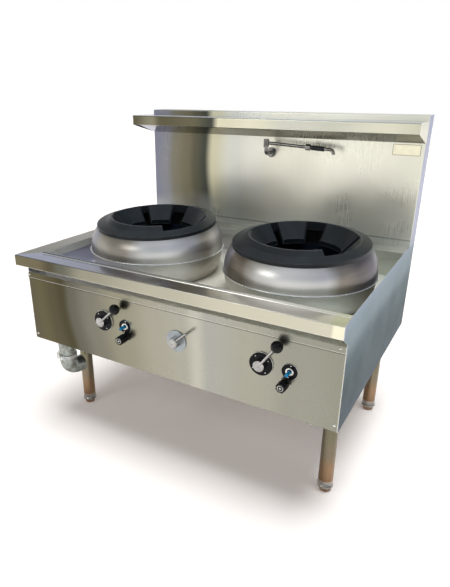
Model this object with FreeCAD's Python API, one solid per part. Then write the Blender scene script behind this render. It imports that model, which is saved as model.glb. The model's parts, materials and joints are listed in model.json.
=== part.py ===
"""Two-station wok range with splashback, top shelf and water spout, as separate pieces.

Millimetres. +Z is up, +X is to the user's right and +Y is away from the user.
The origin is under the middle of the range, on the floor.
"""
import FreeCAD
import Part
import math
import os

Vector = FreeCAD.Vector

# ---------------------------------------------------------------- overall sizes
WIDTH = 1200.0
DEPTH = 906.0
HEIGHT = 1184.5
WORK_HEIGHT = 718.0

# ---------------------------------------------------------------- sheet and fits
BENCH_SHEET = 2.0
PANEL_SHEET = 1.5
SIDE_SHEET = 2.0
BEND = 3.0
AIR = 0.3
SLIDE_FIT = 0.05
SCREW_FIT = 0.2

# ---------------------------------------------------------------- bench
FASCIA_HEIGHT = 38.0
FASCIA_RETURN = 14.0
FRONT_LEDGE = 77.0
LEFT_RIM = 74.5
REAR_LEDGE_START = 172.0
LIP_DROP = 28.0
RIDGE_WIDTH = 15.0
RIDGE_RISE = 5.0
RECESS_DEPTH = 98.0
PAN_FLANGE = 12.0
PAN_CORNER = 8.0

# ---------------------------------------------------------------- body
LEFT_OVERHANG = 9.5
PANEL_SETBACK = 44.0
BODY_HEIGHT = 344.0
PANEL_DROP = 78.0
STRIP_DROP = 73.5
STRIP_HEIGHT = 22.5
STRIP_FLANGE = 28.0
STRIP_CORNER = 12.0
SIDE_NECK_DROP = 70.0
PANEL_RETURN = 15.0
FRAME_LEG = 20.0
FRAME_SHELF = 32.0
FRAME_STEEL = 3.0
FRAME_TOP_DROP = 30.0
RAIL_HEIGHT = 30.0
RAIL_WIDTH = 40.0
RAIL_DROP = 60.0
RAIL_OFFSET = 75.0

# ---------------------------------------------------------------- splashback and shelf
SPLASH_LEFT_INSET = 37.5
SPLASH_DEPTH = 83.0
SPLASH_EDGE = 4.0
SHELF_DEPTH = 150.5
SHELF_DROP = 18.7
SHELF_FASCIA = 38.0
SHELF_SLOPE = 37.0
SHELF_LIP = 12.0
PLATE_WIDTH = 96.0
PLATE_HEIGHT = 38.0
PLATE_THICK = 0.8
PLATE_FROM_RIGHT = 61.5
PLATE_DROP = 117.5

# ---------------------------------------------------------------- cooking chambers
CHAMBER_GAP = 69.0
CHAMBER_FRONT_GAP = 64.5
CHAMBER_WALL = 2.0
FLANGE_LIP = 3.5
FLANGE_THICK = 1.5
SEAM_ABOVE_DECK = 88.0
BOWL_STEP = 1.0
BOWL_MIDDLE_TAPER = 6.0
BOWL_FOOT_TAPER = 25.0
BOWL_FOOT_WIDTH = 12.0
DOME_BULGE = 26.0
DOME_RISE = 88.0
DOME_CURVE = 2.6
DOME_STEPS = 7
RING_TILT = 3.3
RING_RADIUS = 225.0
RING_EDGE = 12.5
RING_CREST = 22.0
RING_FACE = 36.0
RING_WEB = 8.0
SEAT_WIDTH = 25.0
SPIGOT_GAP = 3.0
SPIGOT_DEPTH = 8.0
PAD_DROP = 50.0
PAD_THICK = 17.0
PAD_ROUND = 10.0
PAD_ROOT = 2.0
APRON_FOOT = 3.0
APRON_LEAN = 20.5
APRON_RISE = 14.0
APRON_CREST_WIDTH = 5.0
RING_ROUND = 2.0

# pads of the ring: start and end, in degrees from +X towards +Y
PAD_SECTORS = ((-9.0, 27.0), (34.0, 84.0), (104.0, 137.0), (145.0, 187.0))
APRON_SECTOR = (196.0, 312.0)

LINER_TOP_DROP = 50.0
LINER_GAP = 2.0
LINER_LIP = 14.0
LINER_BOTTOM_RADIUS = 100.0
LINER_THROAT = 40.0

# ---------------------------------------------------------------- burners and gas
BURNER_RADIUS = 85.0
BURNER_HEIGHT = 30.0
JET_RADIUS = 5.0
JET_BORE = 2.0
JET_HEIGHT = 16.0
JET_RINGS = ((0.0, 1), (28.0, 6), (56.0, 12))
SOCKET_DEPTH = 15.0
PILOT_RADIUS = 3.0
PILOT_INSET = 34.0
PILOT_ANGLE = 89.0
PILOT_ABOVE_RAIL = 178.0
PILOT_TIP_RADIUS = 5.0
PILOT_TIP_LENGTH = 150.0
PILOT_BEND = 10.0
GAS_PIPE = 17.0
GAS_WALL = 3.2
GAS_TEE = 25.0
TEE_WALL = 3.5
BURNER_PIPE = 13.5
BURNER_PIPE_WALL = 2.6
PIPE_BEND = 26.0
MANIFOLD_SETBACK = 80.0
MANIFOLD_END = 40.0
MAIN_OFFSET = -76.25
MAIN_RISE = 66.0
BURNER_PIPE_RISE = 81.0
SERVICE_INSET = 53.0
INLET_DROP = 29.0
INLET_THREAD = 30.0

# ---------------------------------------------------------------- controls, beside the chambers' middles
LEVER_OFFSET = {"left": 17.75, "right": 34.25}
IGNITER_OFFSET = {"left": 92.5, "right": 88.0}
LEVER_ANGLE = {"left": 42.0, "right": 55.0}
LEVER_DROP = 190.3
IGNITER_BELOW_LEVER = 1.5
KNOB_BELOW_LEVER = 41.5
LEVER_DISC_RADIUS = 36.0
LEVER_DISC_THICK = 8.0
PLATE_ROUND = 1.2
HUB_RADIUS = 17.5
HUB_PROUD = 24.0
HUB_ROUND = 2.0
SPINDLE_RADIUS = 6.0
SPINDLE_REACH = 18.0
LEVER_LENGTH = 97.0
LEVER_ROD = 4.5
ROD_PROUD = 19.5
BALL_RADIUS = 17.8
BALL_PROUD = 27.2
VALVE_WIDTH = 46.0
VALVE_DEPTH = 54.0
VALVE_CORNER = 5.0
IGNITER_PLATE_RADIUS = 24.2
IGNITER_PLATE_THICK = 3.0
IGNITER_WASHER_RADIUS = 13.0
IGNITER_WASHER_THICK = 2.5
IGNITER_WASHER_TAPER = 2.0
IGNITER_STEM_RADIUS = 5.0
IGNITER_STEM_PROUD = 28.0
IGNITER_BODY_RADIUS = 13.0
IGNITER_BODY_DEPTH = 44.0
IGNITER_TRAVEL = 6.0
KNOB_OFFSET = {"left": -1.0, "right": -11.5}
KNOB_RADIUS = 15.4
KNOB_TIP_RADIUS = 14.8
KNOB_SKIRT = 13.6
KNOB_SKIRT_DEPTH = 8.0
KNOB_PROUD = 38.0
KNOB_FLUTES = 8
FLUTE_RADIUS = 3.4
KNOB_SPINDLE = 4.0
PILOT_VALVE_RADIUS = 14.0
WATER_OFFSET = 27.85
WATER_BELOW_LEVER = 2.9
WATER_PLATE_RADIUS = 36.4
WATER_PLATE_THICK = 4.0
WATER_ANGLE = 42.0
WATER_HUB_PROUD = 27.0
WATER_LEVER_LENGTH = 68.0
WATER_LEVER_ROD = 3.85

# ---------------------------------------------------------------- water spout
SPOUT_OFFSET = -15.75
SPOUT_DROP = 152.5
SPOUT_STANDOFF = 57.0
SPOUT_PIPE = 7.0
SPOUT_WALL = 1.2
SPOUT_BEND = 12.0
SPOUT_RISER = 48.0
SPOUT_COLLAR_RADIUS = 10.5
SPOUT_COLLAR_START = 24.0
SPOUT_CAP = 55.0
SPOUT_FLANGE_RADIUS = 20.0
SPOUT_FLANGE_THICK = 4.0
SPOUT_NUT_ACROSS = 26.0
SPOUT_NUT_THICK = 12.0
ARM_RADIUS = 6.0
ARM_RISE = 41.0
ARM_FALL = 12.5
ARM_REACH = 241.5
ARM_NUT_REACH = 163.5
ARM_NUT_LENGTH = 19.0
ARM_NUT_ACROSS = 20.0
GRIP_REACH = 186.0
GRIP_LENGTH = 51.0
GRIP_RADIUS = 9.0
OUTLET_REACH = 273.0
OUTLET_RISE = 10.0
OUTLET_SLANT = 4.0
OUTLET_BEND = 14.0
WATER_PIPE = 8.0
WATER_PIPE_WALL = 1.0
WATER_TEE = 14.0
WATER_TAIL_RADIUS = 10.5
WATER_TAIL_LENGTH = 45.0
WATER_BEND = 16.0
WATER_PIPE_RISE = 56.0

# ---------------------------------------------------------------- drain
DRAIN_FROM_LEFT = 32.0
DRAIN_FRAME_GAP = 5.0
STRAINER_RADIUS = 23.0
STRAINER_HOLE = 3.0
STRAINER_RINGS = ((0.0, 1), (9.0, 6))
TAIL_RADIUS = 18.0
TAIL_WALL = 1.5
TAIL_LENGTH = 45.0
DRAIN_RADIUS = 31.5
DRAIN_WALL = 3.0
DRAIN_DROP = 35.0
COUPLING_DROP = 68.0
COUPLING_HEIGHT = 14.0
COUPLING_WALL = 3.0
LUG_LENGTH = 8.0
LUG_WIDTH = 10.0
LUG_INSET = 2.5
ELBOW_THROAT = 6.5
ELBOW_NECK = 14.0
ELBOW_SOCKET = 24.0
ELBOW_DIRECTION = 78.0

# ---------------------------------------------------------------- legs and feet
LEG_FROM_SIDE = 69.5
LEG_FROM_FRONT = 238.0
LEG_FROM_REAR = 101.0
LEG_RADIUS = 25.0
LEG_WALL = 1.5
LEG_PLATE = 90.0
LEG_PLATE_THICK = 4.0
COLLAR_TOP = 43.0
COLLAR_BOTTOM = 17.0
COLLAR_RADIUS = 27.5
COLLAR_BAND = 8.0
COLLAR_TAPER = 3.0
COLLAR_ROUND = 2.0
COLLAR_PLUG_TOP = 75.0
FOOT_ACROSS = 36.0
FOOT_STEM = 8.0
FOOT_TRAVEL = 20.0
FOOT_THREAD_HELD = 33.0

# ---------------------------------------------------------------- screws
SCREW_HEAD = 4.5
SCREW_DOME = 2.6
SCREW_SHANK = 2.0
EDGE_SCREW_INSET = 6.0
LOWER_SCREW_INSET = 12.0
LOWER_SCREW_RISE = 20.0
FLANGE_SCREW_INSET = 5.0

# ---------------------------------------------------------------- places that follow from the sizes
PAST = 1.0
LEFT = -WIDTH / 2
RIGHT = WIDTH / 2
FRONT = -DEPTH / 2
REAR = DEPTH / 2
SIDE_INNER = RIGHT - SIDE_SHEET
BODY_LEFT = LEFT + LEFT_OVERHANG
BODY_BOTTOM = WORK_HEIGHT - BODY_HEIGHT
STRIP_SCREW_X = (BODY_LEFT + EDGE_SCREW_INSET, (BODY_LEFT + RIGHT) / 2, RIGHT - 3 * EDGE_SCREW_INSET)
PANEL_Y = FRONT + PANEL_SETBACK
PANEL_BACK = PANEL_Y + PANEL_SHEET
PANEL_TOP = WORK_HEIGHT - PANEL_DROP
STRIP_TOP = WORK_HEIGHT - STRIP_DROP
STRIP_BOTTOM = STRIP_TOP - STRIP_HEIGHT
SIDE_NECK = WORK_HEIGHT - SIDE_NECK_DROP
SIDE_TOP = WORK_HEIGHT + RIDGE_RISE
BENCH_UNDER = WORK_HEIGHT - BENCH_SHEET
RECESS_LEFT = LEFT + LEFT_RIM
RECESS_FRONT = FRONT + FRONT_LEDGE
RECESS_REAR = REAR - REAR_LEDGE_START
RECESS_MIDDLE = (RECESS_LEFT + SIDE_INNER) / 2
DECK_TOP = WORK_HEIGHT - RECESS_DEPTH
DECK_UNDER = DECK_TOP - PANEL_SHEET
RAIL_TOP = DECK_TOP - RAIL_DROP
FRAME_BOTTOM = BODY_BOTTOM + PANEL_SHEET + BEND
REAR_PANEL_Y = REAR - BENCH_SHEET - PANEL_SHEET
SPLASH_LEFT = LEFT + SPLASH_LEFT_INSET
SPLASH_FRONT = REAR - SPLASH_DEPTH
SHELF_TOP = HEIGHT - SHELF_DROP
SHELF_FRONT = SPLASH_FRONT - SHELF_DEPTH
SHELF_BOTTOM = SHELF_TOP - SHELF_FASCIA
SHELF_BACK_BOTTOM = SHELF_BOTTOM - SHELF_SLOPE
PLATE_MIDDLE_Z = HEIGHT - PLATE_DROP
DOME_RADIUS = RING_RADIUS + DOME_BULGE
FLANGE_RADIUS = DOME_RADIUS + FLANGE_LIP
BOWL_RADIUS = DOME_RADIUS - BOWL_STEP
BOWL_MIDDLE_RADIUS = BOWL_RADIUS - BOWL_MIDDLE_TAPER
BOWL_FOOT_RADIUS = BOWL_RADIUS - BOWL_FOOT_TAPER
RING_BORE = RING_RADIUS - RING_FACE
SEAT_BORE = RING_RADIUS - SEAT_WIDTH
SPIGOT_RADIUS = SEAT_BORE - SPIGOT_GAP
APRON_OUTER = RING_BORE + APRON_FOOT
APRON_CREST_RADIUS = RING_BORE - APRON_LEAN
LINER_OUTER = SEAT_BORE - LINER_GAP
LINER_TOP_RADIUS = LINER_OUTER - LINER_LIP
DECK_HOLE = LINER_OUTER + LINER_GAP
PILOT_CIRCLE = LINER_TOP_RADIUS - PILOT_INSET
CHAMBER_SPACING = 2 * FLANGE_RADIUS + CHAMBER_GAP
CHAMBER_Y = RECESS_FRONT + CHAMBER_FRONT_GAP + FLANGE_RADIUS
CHAMBER_X = {"left": RECESS_MIDDLE - CHAMBER_SPACING / 2,
             "right": RECESS_MIDDLE + CHAMBER_SPACING / 2}
SEAM_Z = DECK_TOP + SEAM_ABOVE_DECK
DOME_TOP = SEAM_Z + DOME_RISE
LINER_TOP = DOME_TOP - LINER_TOP_DROP
PILOT_TOP = RAIL_TOP + PILOT_ABOVE_RAIL
LEVER_Z = WORK_HEIGHT - LEVER_DROP
IGNITER_Z = LEVER_Z - IGNITER_BELOW_LEVER
KNOB_Z = LEVER_Z - KNOB_BELOW_LEVER
WATER_Z = LEVER_Z - WATER_BELOW_LEVER
WATER_X = RECESS_MIDDLE + WATER_OFFSET
VALVE_BACK = PANEL_BACK + VALVE_DEPTH
PIPE_DROP_Y = PANEL_BACK + VALVE_DEPTH / 2
SPINDLE_END = PANEL_BACK + SPINDLE_REACH
MANIFOLD_Y = PANEL_Y + MANIFOLD_SETBACK
MAIN_X = RECESS_MIDDLE + MAIN_OFFSET
MAIN_LEVEL = BODY_BOTTOM + MAIN_RISE
BURNER_PIPE_LEVEL = BODY_BOTTOM + BURNER_PIPE_RISE
WATER_PIPE_LEVEL = BODY_BOTTOM + WATER_PIPE_RISE
SERVICE_Y = REAR - SERVICE_INSET
INLET_BOTTOM = BODY_BOTTOM - INLET_DROP
SPOUT_X = RECESS_MIDDLE + SPOUT_OFFSET
SPOUT_Y = SPLASH_FRONT - SPOUT_STANDOFF
SPOUT_Z = HEIGHT - SPOUT_DROP
SPOUT_RISER_TOP = SPOUT_Z + SPOUT_RISER
DRAIN_X = RECESS_LEFT + DRAIN_FROM_LEFT
DRAIN_Y = PANEL_BACK + FRAME_LEG + DRAIN_FRAME_GAP + DRAIN_RADIUS
DRAIN_TOP = DECK_TOP - DRAIN_DROP
COUPLING_TOP = BODY_BOTTOM - COUPLING_DROP
COUPLING_BOTTOM = COUPLING_TOP - COUPLING_HEIGHT
COUPLING_MIDDLE = COUPLING_TOP - COUPLING_HEIGHT / 2
COUPLING_RADIUS = DRAIN_RADIUS + COUPLING_WALL
ELBOW_BEND = DRAIN_RADIUS + ELBOW_THROAT
ELBOW_DROP = ELBOW_BEND + ELBOW_NECK
ELBOW_REACH = ELBOW_BEND + ELBOW_SOCKET
LEG_X = RIGHT - LEG_FROM_SIDE
LEG_FRONT_Y = FRONT + LEG_FROM_FRONT
LEG_REAR_Y = REAR - LEG_FROM_REAR
CORNERS = {"front_left": (-LEG_X, LEG_FRONT_Y), "front_right": (LEG_X, LEG_FRONT_Y),
           "rear_left": (-LEG_X, LEG_REAR_Y), "rear_right": (LEG_X, LEG_REAR_Y)}
FOOT_TOP = COLLAR_BOTTOM - AIR
FOOT_STEM_TOP = COLLAR_BOTTOM + FOOT_TRAVEL + FOOT_THREAD_HELD


# ================================================================ shape helpers
def box(x_span, y_span, z_span):
    size = [span[1] - span[0] for span in (x_span, y_span, z_span)]
    return Part.makeBox(size[0], size[1], size[2], Vector(x_span[0], y_span[0], z_span[0]))


def rod(start, end, radius):
    start = Vector(*start)
    along = Vector(*end) - start
    return Part.makeCylinder(radius, along.Length, start, along)


def cone(start, end, start_radius, end_radius):
    start = Vector(*start)
    along = Vector(*end) - start
    return Part.makeCone(start_radius, end_radius, along.Length, start, along)


def joined(shapes):
    whole = shapes[0].multiFuse(shapes[1:])
    return whole.removeSplitter()


def group(shapes):
    return Part.makeCompound(shapes)


def rounded(shape, radius, wanted):
    edges = [edge for edge in shape.Edges if wanted(edge)]
    return shape.makeFillet(radius, edges)


def edge_lies_at(edge, axis, value):
    ends = [getattr(vertex.Point, axis) for vertex in edge.Vertexes]
    return all(abs(end - value) < 0.01 for end in ends)


def edge_is_centred_at(edge, radius, height):
    """True where an edge's middle is this far from the Z axis and this high."""
    middle = edge.CenterOfMass
    return abs(math.hypot(middle.x, middle.y) - radius) < 0.01 and abs(middle.z - height) < 0.01


def edge_runs_along(edge, axis):
    ends = [vertex.Point for vertex in edge.Vertexes]
    if len(ends) < 2:
        return False
    step = ends[1] - ends[0]
    return abs(abs(getattr(step, axis)) - step.Length) < 0.01


def turned(outline, centre_x, centre_y):
    """Turn a closed outline of (radius, height) points about an upright axis."""
    points = [Vector(radius, 0, height) for radius, height in outline]
    face = Part.Face(Part.makePolygon(points + points[:1]))
    solid = face.revolve(Vector(0, 0, 0), Vector(0, 0, 1), 360)
    solid.translate(Vector(centre_x, centre_y, 0))
    return solid


def across(outline, start_x, end_x):
    """Push a closed outline of (y, z) points along X."""
    points = [Vector(start_x, y, z) for y, z in outline]
    face = Part.Face(Part.makePolygon(points + points[:1]))
    return face.extrude(Vector(end_x - start_x, 0, 0))


def hexagon(centre, direction, flats, length):
    """A hexagonal prism from its end centre along a unit direction."""
    along = Vector(*direction)
    corner_radius = flats / math.sqrt(3)
    points = []
    for step in range(7):
        turn = math.radians(60 * step)
        points.append(Vector(corner_radius * math.cos(turn), corner_radius * math.sin(turn), 0))
    face = Part.Face(Part.makePolygon(points))
    solid = face.extrude(Vector(0, 0, length))
    turn = FreeCAD.Rotation(Vector(0, 0, 1), along)
    solid.Placement = FreeCAD.Placement(Vector(*centre), turn)
    return solid


# ================================================================ bent sheet
def unit(vector):
    return vector * (1 / vector.Length)


def left_normal(direction):
    return Vector(-direction.y, direction.x, 0)


def offset_side(points, bend, shift):
    """One face of a bent sheet: straight runs and bend arcs, shifted from the middle."""
    edges = []
    count = len(points)
    start = points[0] + left_normal(unit(points[1] - points[0])) * shift
    for index in range(1, count - 1):
        before = unit(points[index] - points[index - 1])
        after = unit(points[index + 1] - points[index])
        turn = math.atan2(before.x * after.y - before.y * after.x, before.dot(after))
        side = 1 if turn > 0 else -1
        tangent = bend * math.tan(abs(turn) / 2)
        enter = points[index] - before * tangent
        leave = points[index] + after * tangent
        centre = enter + left_normal(before) * (side * bend)
        middle_normal = unit(left_normal(before) + left_normal(after))
        arc_start = enter + left_normal(before) * shift
        arc_middle = centre - middle_normal * (side * bend) + middle_normal * shift
        arc_end = leave + left_normal(after) * shift
        edges.append(Part.LineSegment(start, arc_start).toShape())
        edges.append(Part.Arc(arc_start, arc_middle, arc_end).toShape())
        start = arc_end
    end = points[-1] + left_normal(unit(points[-1] - points[-2])) * shift
    edges.append(Part.LineSegment(start, end).toShape())
    return edges, start, end


def bent_face(path, sheet, bend):
    """The section of a folded sheet whose middle follows the path."""
    points = [Vector(first, second, 0) for first, second in path]
    left_edges = offset_side(points, bend, sheet / 2)[0]
    right_edges = offset_side(points, bend, -sheet / 2)[0]
    first_cap = Part.LineSegment(left_edges[0].Vertexes[0].Point, right_edges[0].Vertexes[0].Point)
    last_cap = Part.LineSegment(left_edges[-1].Vertexes[-1].Point, right_edges[-1].Vertexes[-1].Point)
    loop = left_edges + right_edges + [first_cap.toShape(), last_cap.toShape()]
    return Part.Face(Part.Wire(Part.__sortEdges__(loop)))


def folded_along_x(path, sheet, bend, start_x, end_x):
    """A folded sheet with a (y, z) path, running along X."""
    solid = bent_face(path, sheet, bend).extrude(Vector(0, 0, end_x - start_x))
    turn = FreeCAD.Rotation(Vector(0, 1, 0), Vector(0, 0, 1), Vector(1, 0, 0), "ZXY")
    solid.Placement = FreeCAD.Placement(Vector(start_x, 0, 0), turn)
    return solid


def folded_along_y(path, sheet, bend, start_y, end_y):
    """A folded sheet with an (x, z) path, running along Y."""
    solid = bent_face(path, sheet, bend).extrude(Vector(0, 0, start_y - end_y))
    turn = FreeCAD.Rotation(Vector(1, 0, 0), 90)
    solid.Placement = FreeCAD.Placement(Vector(0, start_y, 0), turn)
    return solid


# ================================================================ pipes
def elbow(enter, leave, corner, radius):
    """A round bend between two tangent points either side of a corner."""
    before = unit(corner - enter)
    after = unit(leave - corner)
    turn = math.acos(max(-1.0, min(1.0, before.dot(after))))
    bend = (corner - enter).Length / math.tan(turn / 2)
    axis = unit(before.cross(after))
    centre = enter + unit(axis.cross(before)) * bend
    section = Part.Face(Part.Wire(Part.makeCircle(radius, enter, before)))
    return section.revolve(centre, axis, math.degrees(turn))


def run(points, radius, bend):
    """A solid round bar along straight runs joined by bends."""
    places = [Vector(*point) for point in points]
    pieces = []
    start = places[0]
    for index in range(1, len(places) - 1):
        before = unit(places[index] - places[index - 1])
        after = unit(places[index + 1] - places[index])
        turn = math.acos(max(-1.0, min(1.0, before.dot(after))))
        reach = bend * math.tan(turn / 2)
        enter = places[index] - before * reach
        leave = places[index] + after * reach
        pieces.append(rod(tuple(start), tuple(enter), radius))
        pieces.append(elbow(enter, leave, places[index], radius))
        start = leave
    pieces.append(rod(tuple(start), tuple(places[-1]), radius))
    if len(pieces) == 1:
        return pieces[0]
    return joined(pieces)


def pipe(points, radius, wall, bend):
    """A hollow pipe, open at both ends."""
    return run(points, radius, bend).cut(run(points, radius - wall, bend))


# ================================================================ bench
def bench_outer_edge(edge, low):
    """True for the three top edges and two upright corners that are folded round."""
    top = low + FASCIA_HEIGHT
    front = edge_lies_at(edge, "y", FRONT)
    rear = edge_lies_at(edge, "y", REAR)
    left = edge_lies_at(edge, "x", LEFT)
    return (edge_lies_at(edge, "z", top) and (front or rear or left)) or (left and (front or rear))


def bench_skin():
    """Ledges and hanging fascia: one rounded box, hollowed from below and open at its right end."""
    low = WORK_HEIGHT - FASCIA_HEIGHT
    skin = box((LEFT, SIDE_INNER), (FRONT, REAR), (low, WORK_HEIGHT))
    skin = rounded(skin, BEND, lambda edge: bench_outer_edge(edge, low) and not edge_lies_at(edge, "z", low))
    hollow = box((LEFT + BENCH_SHEET, RIGHT + PAST), (FRONT + BENCH_SHEET, REAR - BENCH_SHEET),
                 (low - PAST, BENCH_UNDER))
    opening = box((RECESS_LEFT, RIGHT + PAST), (RECESS_FRONT, RECESS_REAR), (low, WORK_HEIGHT + PAST))
    return skin.cut(hollow).cut(opening)


def recess_lips():
    """Edges of the recess folded down behind the ledges, on three sides."""
    z_span = (WORK_HEIGHT - LIP_DROP, WORK_HEIGHT - BENCH_SHEET / 2)
    inside_left = RECESS_LEFT - BENCH_SHEET
    end = SIDE_INNER - PANEL_SHEET - 2 * AIR
    front = box((inside_left, end), (RECESS_FRONT - BENCH_SHEET, RECESS_FRONT), z_span)
    rear = box((inside_left, end), (RECESS_REAR, RECESS_REAR + BENCH_SHEET), z_span)
    left = box((inside_left, RECESS_LEFT), (RECESS_FRONT - BENCH_SHEET, RECESS_REAR + BENCH_SHEET), z_span)
    return [front, rear, left]


def fascia_return():
    """Stiffening fold at the bottom of the front fascia."""
    low = WORK_HEIGHT - FASCIA_HEIGHT
    return box((LEFT + BENCH_SHEET / 2, SIDE_INNER), (FRONT + BENCH_SHEET / 2, FRONT + FASCIA_RETURN),
               (low, low + BENCH_SHEET))


def front_ridge():
    """The low rounded bead that keeps spills off the front ledge."""
    radius = (RIDGE_WIDTH ** 2 / 4 + RIDGE_RISE ** 2) / (2 * RIDGE_RISE)
    middle_y = RECESS_FRONT - RIDGE_WIDTH / 2
    middle_z = WORK_HEIGHT + RIDGE_RISE - radius
    bead = rod((RECESS_LEFT, middle_y, middle_z), (SIDE_INNER, middle_y, middle_z), radius)
    above = box((LEFT, RIGHT), (FRONT, REAR), (WORK_HEIGHT - BENCH_SHEET / 2, HEIGHT))
    return bead.common(above)


def recess_edge(edge):
    at_rim = (edge_lies_at(edge, "y", RECESS_REAR) or edge_lies_at(edge, "x", RECESS_LEFT))
    return at_rim and edge_lies_at(edge, "z", WORK_HEIGHT)


def bench_top():
    top = joined([bench_skin(), fascia_return()] + recess_lips())
    top = rounded(top, BENCH_SHEET * 0.9, recess_edge)
    top = joined([top, front_ridge()])
    hole = rod((SPOUT_X, SERVICE_Y, BENCH_UNDER - PAST), (SPOUT_X, SERVICE_Y, SIDE_TOP), WATER_PIPE + AIR)
    return top.cut(hole)


def pan_walls():
    """Inner faces of the deck pan, behind the folded lips of the bench."""
    behind = BENCH_SHEET + AIR
    return ((RECESS_LEFT - behind, SIDE_INNER - AIR - PANEL_SHEET),
            (RECESS_FRONT - behind, RECESS_REAR + behind))


def deck_pan():
    x_span, y_span = pan_walls()
    outer = box((x_span[0] - PANEL_SHEET, x_span[1] + PANEL_SHEET),
                (y_span[0] - PANEL_SHEET, y_span[1] + PANEL_SHEET), (DECK_UNDER, BENCH_UNDER))
    inner = box(x_span, y_span, (DECK_TOP, BENCH_UNDER + PAST))
    outer = rounded(outer, PAN_CORNER, lambda edge: edge_lies_at(edge, "z", DECK_UNDER))
    inner = rounded(inner, PAN_CORNER - PANEL_SHEET, lambda edge: edge_lies_at(edge, "z", DECK_TOP))
    flange = box((x_span[0] - PAN_FLANGE, x_span[1]),
                 (y_span[0] - PAN_FLANGE, y_span[1] + PAN_FLANGE),
                 (BENCH_UNDER - PANEL_SHEET, BENCH_UNDER))
    pan = joined([outer, flange]).cut(inner)
    for middle in CHAMBER_X.values():
        hole = rod((middle, CHAMBER_Y, DECK_UNDER - PAST), (middle, CHAMBER_Y, DECK_TOP + PAST), DECK_HOLE)
        pan = pan.cut(hole)
    drain = rod((DRAIN_X, DRAIN_Y, DECK_UNDER - PAST), (DRAIN_X, DRAIN_Y, DECK_TOP + PAST), TAIL_RADIUS)
    return pan.cut(drain)


# ================================================================ body panels
def right_side_panel():
    outline = ((FRONT, WORK_HEIGHT), (FRONT, WORK_HEIGHT - FASCIA_HEIGHT), (PANEL_Y, SIDE_NECK),
               (PANEL_Y, BODY_BOTTOM), (REAR, BODY_BOTTOM), (REAR, SIDE_TOP),
               (RECESS_FRONT, SIDE_TOP))
    plate = across(outline, SIDE_INNER, RIGHT)
    return rounded(plate, SIDE_SHEET * 0.8, lambda edge: edge_lies_at(edge, "x", RIGHT))


def left_side_panel():
    half = PANEL_SHEET / 2
    inside = BODY_LEFT + PANEL_RETURN
    path = ((inside, BODY_BOTTOM + half), (BODY_LEFT + half, BODY_BOTTOM + half),
            (BODY_LEFT + half, BENCH_UNDER))
    return folded_along_y(path, PANEL_SHEET, BEND, PANEL_BACK, REAR_PANEL_Y)


def rear_panel():
    return box((BODY_LEFT, SIDE_INNER), (REAR_PANEL_Y, REAR_PANEL_Y + PANEL_SHEET),
               (BODY_BOTTOM, BENCH_UNDER))


def lever_x(side):
    return CHAMBER_X[side] + LEVER_OFFSET[side]


def igniter_x(side):
    return lever_x(side) + IGNITER_OFFSET[side]


def knob_x(side):
    return igniter_x(side) + KNOB_OFFSET[side]


def panel_hole(x, z, radius):
    return rod((x, PANEL_Y - PAST, z), (x, PANEL_BACK + PAST, z), radius)


def front_control_panel():
    half = PANEL_SHEET / 2
    path = ((PANEL_Y + PANEL_RETURN, BODY_BOTTOM + half), (PANEL_Y + half, BODY_BOTTOM + half),
            (PANEL_Y + half, PANEL_TOP))
    panel = folded_along_x(path, PANEL_SHEET, BEND, BODY_LEFT, SIDE_INNER)
    holes = []
    for side in ("left", "right"):
        holes.append(panel_hole(lever_x(side), LEVER_Z, SPINDLE_RADIUS + AIR))
        holes.append(panel_hole(igniter_x(side), IGNITER_Z, IGNITER_STEM_RADIUS + AIR))
        holes.append(panel_hole(knob_x(side), KNOB_Z, KNOB_SPINDLE + AIR))
    holes.append(panel_hole(WATER_X, WATER_Z, SPINDLE_RADIUS + AIR))
    for x, z in lower_screw_places() + strip_screw_places():
        holes.append(panel_hole(x, z, SCREW_SHANK + SCREW_FIT))
    corner_relief = box((BODY_LEFT - PAST, BODY_LEFT + PANEL_RETURN + AIR),
                        (PANEL_BACK, PANEL_Y + PANEL_RETURN + PAST), (BODY_BOTTOM - PAST, FRAME_BOTTOM))
    return panel.cut(group(holes)).cut(corner_relief)


def strip_screw_places():
    z = STRIP_TOP - STRIP_HEIGHT / 2
    return [(x, z) for x in STRIP_SCREW_X]


def lower_screw_places():
    z = BODY_BOTTOM + LOWER_SCREW_RISE
    return [(BODY_LEFT + LOWER_SCREW_INSET, z), (RIGHT - LOWER_SCREW_INSET, z)]


def flange_screw_places():
    y = PANEL_Y + STRIP_FLANGE - FLANGE_SCREW_INSET
    return [(x, y) for x in STRIP_SCREW_X]


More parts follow.
